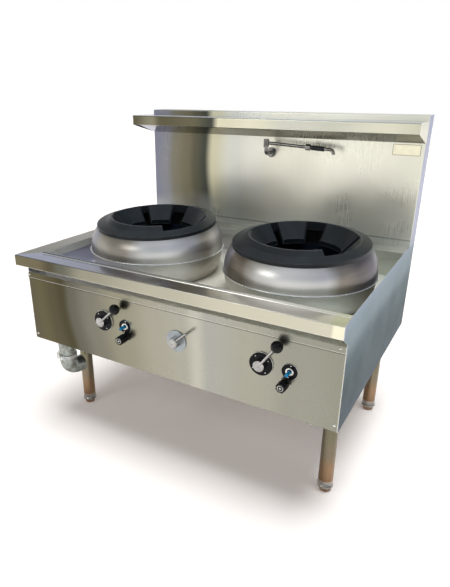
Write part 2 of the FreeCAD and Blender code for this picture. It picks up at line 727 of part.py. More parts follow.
def front_top_strip():
    """Cover strip that laps over the control panel and folds back at its top."""
    half = PANEL_SHEET / 2
    front = PANEL_Y - PANEL_SHEET
    path = ((front + half, STRIP_BOTTOM), (front + half, STRIP_TOP - half),
            (PANEL_Y + STRIP_FLANGE, STRIP_TOP - half))
    strip = folded_along_x(path, PANEL_SHEET, BEND, BODY_LEFT, SIDE_INNER)
    corner = box((BODY_LEFT - PAST, BODY_LEFT + STRIP_CORNER), (front - PAST, PANEL_Y + BEND + PAST),
                 (STRIP_TOP - STRIP_CORNER, STRIP_TOP + PAST))
    keep = rod((BODY_LEFT + STRIP_CORNER, front - 2, STRIP_TOP - STRIP_CORNER),
               (BODY_LEFT + STRIP_CORNER, PANEL_Y + BEND + 2, STRIP_TOP - STRIP_CORNER), STRIP_CORNER)
    side_relief = box((BODY_LEFT - PAST, BODY_LEFT + PANEL_SHEET + AIR),
                      (PANEL_BACK, PANEL_Y + STRIP_FLANGE + PAST), (STRIP_BOTTOM, STRIP_TOP + PAST))
    strip = strip.cut(corner.cut(keep)).cut(side_relief)
    holes = []
    for x, z in strip_screw_places():
        holes.append(rod((x, front - PAST, z), (x, PANEL_Y + PAST, z), SCREW_SHANK + SCREW_FIT))
    for x, y in flange_screw_places():
        holes.append(rod((x, y, STRIP_TOP - PANEL_SHEET - PAST), (x, y, STRIP_TOP + PAST),
                         SCREW_SHANK + SCREW_FIT))
    return strip.cut(group(holes))


# ================================================================ welded frame
def frame_bar_x(y_outer, inward, shelf, low, high, shelf_at_top):
    """An angle bar along X against the front or rear panel."""
    start, end = BODY_LEFT + PANEL_SHEET, SIDE_INNER
    upright = box((start, end), sorted((y_outer, y_outer + inward * FRAME_STEEL)), (low, high))
    z_span = (high - FRAME_STEEL, high) if shelf_at_top else (low, low + FRAME_STEEL)
    flat = box((start, end), sorted((y_outer, y_outer + inward * shelf)), z_span)
    return [upright, flat]


def frame_bar_y(x_outer, inward, low, high, shelf_at_top):
    """An angle bar along Y against a side panel."""
    upright = box(sorted((x_outer, x_outer + inward * FRAME_STEEL)), (PANEL_BACK, REAR_PANEL_Y), (low, high))
    z_span = (high - FRAME_STEEL, high) if shelf_at_top else (low, low + FRAME_STEEL)
    flat = box(sorted((x_outer, x_outer + inward * FRAME_LEG)), (PANEL_BACK, REAR_PANEL_Y), z_span)
    return [upright, flat]


def corner_post(x, y, x_inward, y_inward):
    first = box(sorted((x, x + x_inward * FRAME_STEEL)), sorted((y, y + y_inward * FRAME_LEG)),
                (FRAME_BOTTOM, DECK_UNDER))
    second = box(sorted((x, x + x_inward * FRAME_LEG)), sorted((y, y + y_inward * FRAME_STEEL)),
                 (FRAME_BOTTOM, DECK_UNDER))
    return [first, second]


def leg_plates():
    plates = []
    for x, y in CORNERS.values():
        side = 1 if x > 0 else -1
        outer = SIDE_INNER if x > 0 else BODY_LEFT + PANEL_SHEET
        inner = x - side * LEG_PLATE / 2
        plates.append(box(sorted((outer, inner)), (y - LEG_PLATE / 2, y + LEG_PLATE / 2),
                          (FRAME_BOTTOM, FRAME_BOTTOM + LEG_PLATE_THICK)))
    return plates


def body_frame():
    left = BODY_LEFT + PANEL_SHEET
    low = (FRAME_BOTTOM, FRAME_BOTTOM + FRAME_LEG)
    high = (DECK_UNDER - FRAME_TOP_DROP, DECK_UNDER)
    pieces = leg_plates()
    pieces += frame_bar_x(PANEL_BACK, 1, FRAME_LEG, low[0], low[1], False)
    pieces += frame_bar_x(REAR_PANEL_Y, -1, FRAME_LEG, low[0], low[1], False)
    pieces += frame_bar_y(left, 1, low[0], low[1], False)
    pieces += frame_bar_y(SIDE_INNER, -1, low[0], low[1], False)
    pieces += frame_bar_x(PANEL_BACK, 1, FRAME_SHELF, high[0], high[1], True)
    pieces += frame_bar_y(left, 1, high[0], high[1], True)
    pieces += frame_bar_y(SIDE_INNER, -1, high[0], high[1], True)
    pieces += corner_post(left, PANEL_BACK, 1, 1)
    pieces += corner_post(SIDE_INNER, PANEL_BACK, -1, 1)
    pieces += corner_post(left, REAR_PANEL_Y, 1, -1)
    pieces += corner_post(SIDE_INNER, REAR_PANEL_Y, -1, -1)
    return joined(pieces)


def chamber_rails():
    """Two folded channels across the body that carry the liners and burners."""
    rails = []
    for offset in (-RAIL_OFFSET, RAIL_OFFSET):
        y = CHAMBER_Y + offset
        outer = box((BODY_LEFT + PANEL_SHEET, SIDE_INNER), (y - RAIL_WIDTH / 2, y + RAIL_WIDTH / 2),
                    (RAIL_TOP - RAIL_HEIGHT, RAIL_TOP))
        inner = box((BODY_LEFT, RIGHT), (y - RAIL_WIDTH / 2 + FRAME_STEEL, y + RAIL_WIDTH / 2 - FRAME_STEEL),
                    (RAIL_TOP - RAIL_HEIGHT - PAST, RAIL_TOP - FRAME_STEEL))
        rails.append(outer.cut(inner))
    return group(rails)


# ================================================================ splashback and shelf
def splashback_panel():
    outer = box((SPLASH_LEFT, RIGHT), (SPLASH_FRONT, REAR - PANEL_SHEET), (WORK_HEIGHT, HEIGHT))
    outer = rounded(outer, SPLASH_EDGE, splash_front_edge)
    inner = box((SPLASH_LEFT + PANEL_SHEET, RIGHT - PANEL_SHEET), (SPLASH_FRONT + PANEL_SHEET, REAR),
                (WORK_HEIGHT - PAST, HEIGHT - PANEL_SHEET))
    notch = box((SIDE_INNER, RIGHT + PAST), (SPLASH_FRONT - PAST, REAR), (WORK_HEIGHT - PAST, SIDE_TOP))
    spout_hole = rod((SPOUT_X, SPLASH_FRONT - PAST, SPOUT_Z),
                     (SPOUT_X, SPLASH_FRONT + PANEL_SHEET + PAST, SPOUT_Z),
                     WATER_PIPE + AIR)
    return outer.cut(group([inner, notch])).cut(spout_hole)


def splash_front_edge(edge):
    at_front = edge_lies_at(edge, "y", SPLASH_FRONT)
    at_top = edge_lies_at(edge, "z", HEIGHT)
    at_ends = edge_lies_at(edge, "x", SPLASH_LEFT) or edge_lies_at(edge, "x", RIGHT)
    at_bottom = edge_lies_at(edge, "z", WORK_HEIGHT)
    return (at_front or (at_top and at_ends)) and not at_bottom


def splashback_rear_cover():
    return box((SPLASH_LEFT, RIGHT), (REAR - PANEL_SHEET, REAR), (SIDE_TOP, HEIGHT))


def shelf_top():
    """Folded top and fascia of the shelf, with its two end plates welded on."""
    half = PANEL_SHEET / 2
    path = ((SHELF_FRONT + SHELF_LIP, SHELF_BOTTOM + half), (SHELF_FRONT + half, SHELF_BOTTOM + half),
            (SHELF_FRONT + half, SHELF_TOP - half), (SPLASH_FRONT, SHELF_TOP - half))
    sheet = folded_along_x(path, PANEL_SHEET, BEND, SPLASH_LEFT + PANEL_SHEET, RIGHT - PANEL_SHEET)
    return joined([sheet] + shelf_ends())


def shelf_underside():
    half = PANEL_SHEET / 2
    lip_z = SHELF_BOTTOM + PANEL_SHEET + half
    start = SHELF_FRONT + PANEL_SHEET + BEND
    path = ((start, lip_z), (SHELF_FRONT + SHELF_LIP + BEND, lip_z),
            (SPLASH_FRONT - half, SHELF_BACK_BOTTOM + half), (SPLASH_FRONT - half, SHELF_BOTTOM))
    return folded_along_x(path, PANEL_SHEET, BEND, SPLASH_LEFT + PANEL_SHEET, RIGHT - PANEL_SHEET)


def shelf_ends():
    outline = ((SHELF_FRONT, SHELF_BOTTOM), (SHELF_FRONT, SHELF_TOP), (SPLASH_FRONT, SHELF_TOP),
               (SPLASH_FRONT, SHELF_BACK_BOTTOM))
    left = across(outline, SPLASH_LEFT, SPLASH_LEFT + PANEL_SHEET)
    right = across(outline, RIGHT - PANEL_SHEET, RIGHT)
    return [left, right]


def blank_plate():
    right = RIGHT - PLATE_FROM_RIGHT + PLATE_WIDTH / 2
    plate = box((right - PLATE_WIDTH, right), (SPLASH_FRONT - PLATE_THICK, SPLASH_FRONT),
                (PLATE_MIDDLE_Z - PLATE_HEIGHT / 2, PLATE_MIDDLE_Z + PLATE_HEIGHT / 2))
    return rounded(plate, 3.0, lambda edge: edge_runs_along(edge, "y"))


# ================================================================ cooking chambers
def tilted(shape, side, height):
    """Lay a shape made about the origin on the sloping ring plane of a chamber."""
    turn = FreeCAD.Rotation(Vector(1, 0, 0), RING_TILT)
    shape.Placement = FreeCAD.Placement(Vector(CHAMBER_X[side], CHAMBER_Y, height), turn)
    return shape


def dome_section(side, share, inset):
    """A level circle at the seam that leans more and more up to the ring plane."""
    radius = DOME_RADIUS - (DOME_RADIUS - RING_RADIUS) * share ** DOME_CURVE - inset
    lean = math.radians(RING_TILT * share)
    normal = Vector(0, -math.sin(lean), math.cos(lean))
    centre = Vector(CHAMBER_X[side], CHAMBER_Y, SEAM_Z + DOME_RISE * share)
    return Part.Wire(Part.makeCircle(radius, centre, normal))


def dome_solid(side, inset):
    sections = [dome_section(side, step / DOME_STEPS, inset) for step in range(DOME_STEPS + 1)]
    return Part.makeLoft(sections, True, False)


def chamber_dome(side):
    """Upper half of the chamber: turned-out seam flange, shell and sloping ring seat."""
    shell = dome_solid(side, 0).cut(dome_solid(side, CHAMBER_WALL))
    inside = DOME_RADIUS - CHAMBER_WALL / 2
    flange = turned(((inside, SEAM_Z), (FLANGE_RADIUS, SEAM_Z), (FLANGE_RADIUS, SEAM_Z + FLANGE_THICK),
                     (inside, SEAM_Z + FLANGE_THICK)), CHAMBER_X[side], CHAMBER_Y)
    seat = turned(((SEAT_BORE, -CHAMBER_WALL), (RING_RADIUS - PAST, -CHAMBER_WALL),
                   (RING_RADIUS - PAST, 0), (SEAT_BORE, 0)), 0, 0)
    return joined([shell, flange, tilted(seat, side, DOME_TOP)])


def bowl_curve(inset):
    """The bulging side of the lower half, from the seam down to the deck."""
    return Part.Arc(Vector(BOWL_RADIUS - inset, 0, SEAM_Z),
                    Vector(BOWL_MIDDLE_RADIUS - inset, 0, (SEAM_Z + DECK_TOP) / 2),
                    Vector(BOWL_FOOT_RADIUS - inset, 0, DECK_TOP)).toShape()


def chamber_bowl(side):
    """Lower half of the chamber: seam flange, curved wall and a foot turned in on the deck."""
    outside = bowl_curve(0)
    inside = bowl_curve(CHAMBER_WALL)
    top = Part.LineSegment(Vector(BOWL_RADIUS, 0, SEAM_Z), Vector(BOWL_RADIUS - CHAMBER_WALL, 0, SEAM_Z))
    foot = Part.LineSegment(Vector(BOWL_FOOT_RADIUS, 0, DECK_TOP),
                            Vector(BOWL_FOOT_RADIUS - CHAMBER_WALL, 0, DECK_TOP))
    outline = Part.__sortEdges__([outside, inside, top.toShape(), foot.toShape()])
    wall = Part.Face(Part.Wire(outline)).revolve(Vector(0, 0, 0), Vector(0, 0, 1), 360)
    wall.translate(Vector(CHAMBER_X[side], CHAMBER_Y, 0))
    inside = BOWL_RADIUS - CHAMBER_WALL / 2
    flange = turned(((inside, SEAM_Z - FLANGE_THICK), (FLANGE_RADIUS, SEAM_Z - FLANGE_THICK),
                     (FLANGE_RADIUS, SEAM_Z), (inside, SEAM_Z)), CHAMBER_X[side], CHAMBER_Y)
    turn_in = turned(((BOWL_FOOT_RADIUS - BOWL_FOOT_WIDTH, DECK_TOP), (BOWL_FOOT_RADIUS - PAST, DECK_TOP),
                      (BOWL_FOOT_RADIUS - PAST, DECK_TOP + CHAMBER_WALL),
                      (BOWL_FOOT_RADIUS - BOWL_FOOT_WIDTH, DECK_TOP + CHAMBER_WALL)),
                     CHAMBER_X[side], CHAMBER_Y)
    return joined([wall, flange, turn_in])


def sector(outline, start, end):
    """Part of a turned piece, between two angles about the ring's axis."""
    points = [Vector(radius, 0, height) for radius, height in outline]
    face = Part.Face(Part.makePolygon(points + points[:1]))
    face.rotate(Vector(0, 0, 0), Vector(0, 0, 1), start)
    return face.revolve(Vector(0, 0, 0), Vector(0, 0, 1), end - start)


def wok_pad(start, end):
    """One pad for the wok, sloping in and down, with its two ends rounded off."""
    outline = ((RING_BORE + PAD_ROOT, RING_CREST), (RING_BORE, RING_CREST),
               (RING_BORE - PAD_DROP, RING_CREST - PAD_DROP),
               (RING_BORE - PAD_DROP, RING_CREST - PAD_DROP - PAD_THICK), (RING_BORE, -SPIGOT_DEPTH),
               (RING_BORE + PAD_ROOT, -SPIGOT_DEPTH))
    middle = (RING_BORE - PAD_DROP / 2, RING_CREST - PAD_DROP / 2)
    return rounded(sector(outline, start, end), PAD_ROUND, lambda edge: edge_is_centred_at(edge, *middle))


def ring_casting():
    """The cast ring about its own axis: rim, pads that carry the wok, and a raised front apron."""
    rim = turned(((RING_BORE, 0), (RING_RADIUS, 0), (RING_RADIUS, RING_EDGE), (RING_BORE, RING_CREST)), 0, 0)
    rim = rounded(rim, RING_ROUND, lambda edge: edge_lies_at(edge, "z", RING_EDGE))
    spigot = turned(((SPIGOT_RADIUS - RING_WEB, -SPIGOT_DEPTH), (SPIGOT_RADIUS, -SPIGOT_DEPTH),
                     (SPIGOT_RADIUS, PAST), (SPIGOT_RADIUS - RING_WEB, PAST)), 0, 0)
    crest = RING_CREST + APRON_RISE
    apron = ((APRON_OUTER, RING_CREST - PAD_ROOT), (APRON_CREST_RADIUS + APRON_CREST_WIDTH / 2, crest),
             (APRON_CREST_RADIUS - APRON_CREST_WIDTH / 2, crest),
             (RING_BORE - PAD_DROP, RING_CREST - PAD_DROP / 2 - PAD_THICK),
             (RING_BORE - PAD_DROP, RING_CREST - PAD_DROP - PAD_THICK), (RING_BORE, -SPIGOT_DEPTH),
             (APRON_OUTER, -SPIGOT_DEPTH))
    pieces = [rim, spigot]
    for start, end in PAD_SECTORS:
        pieces.append(wok_pad(start, end))
    pieces.append(sector(apron, APRON_SECTOR[0], APRON_SECTOR[1]))
    return joined(pieces)


def wok_ring(side):
    return tilted(ring_casting(), side, DOME_TOP + AIR)


def chamber_liners():
    """Refractory funnels between the rings and the burners, each bored for its pilot tube."""
    throat_top = RAIL_TOP + LINER_THROAT
    outline = ((LINER_BOTTOM_RADIUS, RAIL_TOP), (LINER_OUTER, RAIL_TOP), (LINER_OUTER, LINER_TOP),
               (LINER_TOP_RADIUS, LINER_TOP), (LINER_BOTTOM_RADIUS, throat_top))
    liners = []
    for side in ("left", "right"):
        x, y = pilot_place(side)
        bore = rod((x, y, RAIL_TOP - PAST), (x, y, LINER_TOP), PILOT_TIP_RADIUS)
        liners.append(turned(outline, CHAMBER_X[side], CHAMBER_Y).cut(bore))
    return group(liners)


def burner(side):
    """Cast burner head with its jets and the threaded socket under it."""
    x = CHAMBER_X[side]
    top = RAIL_TOP + BURNER_HEIGHT
    head = rod((x, CHAMBER_Y, RAIL_TOP), (x, CHAMBER_Y, top), BURNER_RADIUS)
    pieces = [head]
    for circle, count in JET_RINGS:
        for step in range(count):
            turn = 2 * math.pi * step / count
            place = (x + circle * math.cos(turn), CHAMBER_Y + circle * math.sin(turn))
            jet = rod((place[0], place[1], top - PAST), (place[0], place[1], top + JET_HEIGHT), JET_RADIUS)
            bore = rod((place[0], place[1], top), (place[0], place[1], top + JET_HEIGHT + PAST), JET_BORE)
            pieces.append(jet.cut(bore))
    socket = rod((x, CHAMBER_Y, RAIL_TOP - PAST), (x, CHAMBER_Y, RAIL_TOP + BURNER_HEIGHT / 2),
                 BURNER_PIPE)
    return joined(pieces).cut(socket)


def pilot_place(side):
    turn = math.radians(PILOT_ANGLE)
    return CHAMBER_X[side] + PILOT_CIRCLE * math.cos(turn), CHAMBER_Y + PILOT_CIRCLE * math.sin(turn)


def pilot_burners():
    """Pilot tubes from their valves, up through each liner to a short tip."""
    pilots = []
    for side in ("left", "right"):
        x, y = pilot_place(side)
        start = (knob_x(side), VALVE_BACK, KNOB_Z)
        tube = run((start, (knob_x(side), y, KNOB_Z), (x, y, KNOB_Z), (x, y, PILOT_TOP)),
                   PILOT_RADIUS, PILOT_BEND)
        tip = rod((x, y, PILOT_TOP - PILOT_TIP_LENGTH), (x, y, PILOT_TOP), PILOT_TIP_RADIUS)
        pilots.append(joined([tube, tip]))
    return group(pilots)


# ================================================================ gas train
def gas_manifold():
    """Supply bar behind the valves, with its main and threaded inlet at the rear."""
    start = lever_x("left") - MANIFOLD_END
    end = lever_x("right") + MANIFOLD_END
    bar = rod((start, MANIFOLD_Y, LEVER_Z), (end, MANIFOLD_Y, LEVER_Z), GAS_PIPE)
    tee = rod((MAIN_X - GAS_TEE, MANIFOLD_Y, LEVER_Z), (MAIN_X + GAS_TEE, MANIFOLD_Y, LEVER_Z),
              GAS_PIPE + TEE_WALL)
    main_route = ((MAIN_X, MANIFOLD_Y, LEVER_Z), (MAIN_X, MANIFOLD_Y, MAIN_LEVEL),
                  (MAIN_X, SERVICE_Y, MAIN_LEVEL), (MAIN_X, SERVICE_Y, INLET_BOTTOM))
    pieces = [bar, tee, run(main_route, GAS_PIPE, PIPE_BEND)]
    for side in ("left", "right"):
        x = lever_x(side)
        pieces.append(rod((x, VALVE_BACK, LEVER_Z), (x, MANIFOLD_Y, LEVER_Z), BURNER_PIPE))
    bore = rod((MAIN_X, SERVICE_Y, INLET_BOTTOM - PAST), (MAIN_X, SERVICE_Y, INLET_BOTTOM + INLET_THREAD),
               GAS_PIPE - GAS_WALL)
    return joined(pieces).cut(bore)


def burner_pipes():
    pipes = []
    for side in ("left", "right"):
        x = lever_x(side)
        route = ((x, PIPE_DROP_Y, LEVER_Z - VALVE_WIDTH / 2), (x, PIPE_DROP_Y, BURNER_PIPE_LEVEL),
                 (CHAMBER_X[side], CHAMBER_Y, BURNER_PIPE_LEVEL),
                 (CHAMBER_X[side], CHAMBER_Y, RAIL_TOP + SOCKET_DEPTH))
        pipes.append(pipe(route, BURNER_PIPE, BURNER_PIPE_WALL, PIPE_BEND))
    return group(pipes)


def spindle_bore(x, z, radius, beyond):
    """The hole that a spindle turns or slides in, from the panel into a valve."""
    return rod((x, PANEL_Y, z), (x, SPINDLE_END + beyond, z), radius + SLIDE_FIT)


def valve_block(x, z):
    half = VALVE_WIDTH / 2
    body = box((x - half, x + half), (PANEL_BACK, VALVE_BACK), (z - half, z + half))
    body = rounded(body, VALVE_CORNER, lambda edge: edge_runs_along(edge, "y"))
    return body.cut(spindle_bore(x, z, SPINDLE_RADIUS, AIR))


def gas_valves():
    return group([valve_block(lever_x(side), LEVER_Z) for side in ("left", "right")])


def pilot_valves():
    valves = []
    for side in ("left", "right"):
        x = knob_x(side)
        body = rod((x, PANEL_BACK, KNOB_Z), (x, VALVE_BACK, KNOB_Z), PILOT_VALVE_RADIUS)
        valves.append(body.cut(spindle_bore(x, KNOB_Z, KNOB_SPINDLE, AIR)))
    return group(valves)


# ================================================================ controls
def plate_hole(x, z, radius):
    """A hole right through whatever stands in front of the control panel."""
    return rod((x, PANEL_Y + PAST, z), (x, FRONT, z), radius + AIR)


def round_plate(x, z, radius, thick, edge_round):
    front = PANEL_Y - thick
    disc = rod((x, PANEL_Y, z), (x, front, z), radius)
    return rounded(disc, edge_round, lambda edge: edge_lies_at(edge, "y", front))


def lever_plates():
    plates = []
    for side in ("left", "right"):
        x = lever_x(side)
        disc = round_plate(x, LEVER_Z, LEVER_DISC_RADIUS, LEVER_DISC_THICK, PLATE_ROUND)
        plates.append(disc.cut(plate_hole(x, LEVER_Z, SPINDLE_RADIUS)))
    return group(plates)


def hub_and_spindle(x, z, plate_thick, proud):
    """The round hub in front of a plate and the spindle behind it."""
    back = PANEL_Y - plate_thick - AIR
    front = PANEL_Y - proud
    hub = rod((x, back, z), (x, front, z), HUB_RADIUS)
    hub = rounded(hub, HUB_ROUND, lambda edge: edge_lies_at(edge, "y", front))
    return [hub, rod((x, back - PAST, z), (x, SPINDLE_END, z), SPINDLE_RADIUS)]


def lever_start(x, z):
    return (x, PANEL_Y - ROD_PROUD, z)


def lever_end(x, z, length, angle):
    turn = math.radians(angle)
    return (x + length * math.cos(turn), PANEL_Y - BALL_PROUD, z + length * math.sin(turn))


def gas_lever(side):
    x = lever_x(side)
    end = lever_end(x, LEVER_Z, LEVER_LENGTH, LEVER_ANGLE[side])
    arm = rod(lever_start(x, LEVER_Z), end, LEVER_ROD)
    return joined(hub_and_spindle(x, LEVER_Z, LEVER_DISC_THICK, HUB_PROUD) + [arm])


def lever_ball(side):
    """The ball screwed on the end of a gas lever."""
    x = lever_x(side)
    end = lever_end(x, LEVER_Z, LEVER_LENGTH, LEVER_ANGLE[side])
    ball = Part.makeSphere(BALL_RADIUS, Vector(*end))
    return ball.cut(rod(lever_start(x, LEVER_Z), end, LEVER_ROD))


def water_valve_plate():
    disc = round_plate(WATER_X, WATER_Z, WATER_PLATE_RADIUS, WATER_PLATE_THICK, PLATE_ROUND)
    return disc.cut(plate_hole(WATER_X, WATER_Z, SPINDLE_RADIUS))


def water_valve():
    return valve_block(WATER_X, WATER_Z)


def water_lever():
    end = lever_end(WATER_X, WATER_Z, WATER_LEVER_LENGTH, WATER_ANGLE)
    arm = rod(lever_start(WATER_X, WATER_Z), end, WATER_LEVER_ROD)
    tip = Part.makeSphere(WATER_LEVER_ROD, Vector(*end))
    hub = hub_and_spindle(WATER_X, WATER_Z, WATER_PLATE_THICK, WATER_HUB_PROUD)
    return joined(hub + [arm, tip])


def igniter_plates():
    """Black plates, each with a steel washer round the igniter stem."""
    plates = []
    for side in ("left", "right"):
        x = igniter_x(side)
        plate_front = PANEL_Y - IGNITER_PLATE_THICK
        disc = rod((x, PANEL_Y, IGNITER_Z), (x, plate_front, IGNITER_Z), IGNITER_PLATE_RADIUS)
        washer = cone((x, plate_front, IGNITER_Z), (x, plate_front - IGNITER_WASHER_THICK, IGNITER_Z),
                      IGNITER_WASHER_RADIUS, IGNITER_WASHER_RADIUS - IGNITER_WASHER_TAPER)
        plates.append(joined([disc, washer]).cut(plate_hole(x, IGNITER_Z, IGNITER_STEM_RADIUS)))
    return group(plates)


def igniter_bodies():
    bodies = []
    for side in ("left", "right"):
        x = igniter_x(side)
        body = rod((x, PANEL_BACK, IGNITER_Z), (x, PANEL_BACK + IGNITER_BODY_DEPTH, IGNITER_Z),
                   IGNITER_BODY_RADIUS)
        bore = spindle_bore(x, IGNITER_Z, IGNITER_STEM_RADIUS, IGNITER_TRAVEL + AIR)
        bodies.append(body.cut(bore))
    return group(bodies)


def igniter_button(side):
    x = igniter_x(side)
    front = PANEL_Y - IGNITER_STEM_PROUD
    stem = rod((x, SPINDLE_END, IGNITER_Z), (x, front, IGNITER_Z), IGNITER_STEM_RADIUS)
    return rounded(stem, PLATE_ROUND, lambda edge: edge_lies_at(edge, "y", front))


def pilot_knob(side):
    """Knob with deep flutes and a plain neck behind them, on its own spindle."""
    x = knob_x(side)
    back = PANEL_Y - AIR
    skirt_front = back - KNOB_SKIRT_DEPTH
    front = PANEL_Y - KNOB_PROUD
    skirt = rod((x, back, KNOB_Z), (x, skirt_front, KNOB_Z), KNOB_SKIRT)
    grip = cone((x, skirt_front, KNOB_Z), (x, front, KNOB_Z), KNOB_RADIUS, KNOB_TIP_RADIUS)
    grip = rounded(grip, PLATE_ROUND, lambda edge: edge_lies_at(edge, "y", front))
    flutes = []
    for step in range(KNOB_FLUTES):
        turn = 2 * math.pi * step / KNOB_FLUTES
        flute_x = x + KNOB_RADIUS * math.cos(turn)
        flute_z = KNOB_Z + KNOB_RADIUS * math.sin(turn)
        flutes.append(rod((flute_x, skirt_front, flute_z), (flute_x, front - PAST, flute_z), FLUTE_RADIUS))
    spindle = rod((x, back - PAST, KNOB_Z), (x, SPINDLE_END, KNOB_Z), KNOB_SPINDLE)
    return joined([skirt, grip.cut(group(flutes)), spindle])


# ================================================================ water
def water_pipe():
    """Copper pipe from the water valve to the wall connection, with a threaded inlet tail."""
    from_valve = ((WATER_X, PIPE_DROP_Y, WATER_Z - VALVE_WIDTH / 2),
                  (WATER_X, PIPE_DROP_Y, WATER_PIPE_LEVEL), (SPOUT_X, SERVICE_Y, WATER_PIPE_LEVEL))
    riser = ((SPOUT_X, SERVICE_Y, INLET_BOTTOM), (SPOUT_X, SERVICE_Y, SPOUT_Z),
             (SPOUT_X, SPLASH_FRONT, SPOUT_Z))
    tee = rod((SPOUT_X, SERVICE_Y, WATER_PIPE_LEVEL - WATER_TEE),
              (SPOUT_X, SERVICE_Y, WATER_PIPE_LEVEL + WATER_TEE), WATER_PIPE + TEE_WALL)
    tail = rod((SPOUT_X, SERVICE_Y, INLET_BOTTOM), (SPOUT_X, SERVICE_Y, INLET_BOTTOM + WATER_TAIL_LENGTH),
               WATER_TAIL_RADIUS)
    bore = rod((SPOUT_X, SERVICE_Y, INLET_BOTTOM - PAST), (SPOUT_X, SERVICE_Y, INLET_BOTTOM + INLET_THREAD),
               WATER_PIPE - WATER_PIPE_WALL)
    pieces = [run(from_valve, WATER_PIPE, WATER_BEND), run(riser, WATER_PIPE, WATER_BEND), tee, tail]
    return joined(pieces).cut(bore)


def spout_flange():
    """Wall washer and hexagonal nut round the spout where it leaves the splashback."""
    front = SPLASH_FRONT - SPOUT_FLANGE_THICK
    washer = rod((SPOUT_X, SPLASH_FRONT, SPOUT_Z), (SPOUT_X, front, SPOUT_Z), SPOUT_FLANGE_RADIUS)
    washer = rounded(washer, PLATE_ROUND, lambda edge: edge_lies_at(edge, "y", front))
    nut = hexagon((SPOUT_X, front, SPOUT_Z), (0, -1, 0), SPOUT_NUT_ACROSS, SPOUT_NUT_THICK)
    hole = rod((SPOUT_X, SPLASH_FRONT + PAST, SPOUT_Z), (SPOUT_X, SPOUT_Y, SPOUT_Z), SPOUT_PIPE)
    return joined([washer, nut]).cut(hole)


def spout_riser():
    route = ((SPOUT_X, SPLASH_FRONT, SPOUT_Z), (SPOUT_X, SPOUT_Y, SPOUT_Z),
             (SPOUT_X, SPOUT_Y, SPOUT_RISER_TOP))
    return pipe(route, SPOUT_PIPE, SPOUT_WALL, SPOUT_BEND)


def arm_point(reach):
    """A point on the swing arm's axis, by its distance from the riser."""
    fall = ARM_FALL * reach / ARM_REACH
    return (SPOUT_X + reach, SPOUT_Y, SPOUT_Z + ARM_RISE - fall)


def arm_bar(start_reach, end_reach, radius):
    return rod(arm_point(start_reach), arm_point(end_reach), radius)


def spout_arm():
    """The swivel collar on the riser, closed at its top, and the long arm."""
    bottom = SPOUT_Z + SPOUT_COLLAR_START
    top = SPOUT_Z + SPOUT_CAP
    collar = rod((SPOUT_X, SPOUT_Y, bottom), (SPOUT_X, SPOUT_Y, top), SPOUT_COLLAR_RADIUS)
    collar = rounded(collar, HUB_ROUND, lambda edge: edge_lies_at(edge, "z", top))
    bore = rod((SPOUT_X, SPOUT_Y, bottom - PAST), (SPOUT_X, SPOUT_Y, SPOUT_RISER_TOP + AIR),
               SPOUT_PIPE + SLIDE_FIT)
    arm = arm_bar(SPOUT_PIPE + PAST, ARM_REACH, ARM_RADIUS)
    return joined([collar, arm]).cut(bore)


def spout_nut():
    along = unit(Vector(*arm_point(ARM_REACH)) - Vector(*arm_point(0)))
    nut = hexagon(arm_point(ARM_NUT_REACH), tuple(along), ARM_NUT_ACROSS, ARM_NUT_LENGTH)
    return nut.cut(arm_bar(0, ARM_REACH, ARM_RADIUS))


def spout_grip():
    sleeve = arm_bar(GRIP_REACH, GRIP_REACH + GRIP_LENGTH, GRIP_RADIUS)
    sleeve = rounded(sleeve, HUB_ROUND, lambda edge: len(edge.Vertexes) == 1)
    return sleeve.cut(arm_bar(0, ARM_REACH, ARM_RADIUS))


def spout_outlet():
    """The down-turned mouth at the end of the arm."""
    start = arm_point(ARM_REACH)
    mouth = (SPOUT_X + OUTLET_REACH, SPOUT_Y, SPOUT_Z + OUTLET_RISE)
    corner = (mouth[0] - OUTLET_SLANT, SPOUT_Y, start[2] - PAST)
    return pipe((start, corner, mouth), ARM_RADIUS, SPOUT_WALL, OUTLET_BEND)


# ================================================================ drain
def down(high, low, radius):
    """A round bar straight down the drain's axis."""
    return rod((DRAIN_X, DRAIN_Y, high), (DRAIN_X, DRAIN_Y, low), radius)


def drain_strainer():
    """Perforated plate in the deck with its tailpiece."""
    plate = down(DECK_TOP + PANEL_SHEET, DECK_TOP, STRAINER_RADIUS)
    holes = []
    for circle, count in STRAINER_RINGS:
        for step in range(count):
            turn = 2 * math.pi * step / count
            hole = down(DECK_TOP + 2 * PANEL_SHEET, DECK_UNDER, STRAINER_HOLE)
            hole.translate(Vector(circle * math.cos(turn), circle * math.sin(turn), 0))
            holes.append(hole)
    tail = down(DECK_TOP, DECK_TOP - TAIL_LENGTH, TAIL_RADIUS)
    tail = tail.cut(down(DECK_TOP, DECK_TOP - TAIL_LENGTH, TAIL_RADIUS - TAIL_WALL))
    return joined([plate.cut(group(holes)), tail])


def drain_pipe():
    """Galvanised drop pipe, closed round the tailpiece by a reducing plate."""
    drop = down(DRAIN_TOP, COUPLING_MIDDLE, DRAIN_RADIUS)
    drop = drop.cut(down(DRAIN_TOP - DRAIN_WALL, COUPLING_MIDDLE, DRAIN_RADIUS - DRAIN_WALL))
    return drop.cut(down(DRAIN_TOP + PAST, DRAIN_TOP - 2 * DRAIN_WALL, TAIL_RADIUS))


def drain_coupling():
    """Clamp band over the joint between the drop pipe and the elbow, with its bolt lug."""
    band = down(COUPLING_TOP, COUPLING_BOTTOM, COUPLING_RADIUS)
    band = rounded(band, PLATE_ROUND, lambda edge: len(edge.Vertexes) == 1)
    outer = DRAIN_X - COUPLING_RADIUS
    lug = box((outer - LUG_LENGTH, outer + LUG_INSET), (DRAIN_Y - LUG_WIDTH / 2, DRAIN_Y + LUG_WIDTH / 2),
              (COUPLING_BOTTOM + LUG_INSET, COUPLING_TOP - LUG_INSET))
    return joined([band, lug]).cut(down(COUPLING_TOP + PAST, COUPLING_BOTTOM - PAST, DRAIN_RADIUS))


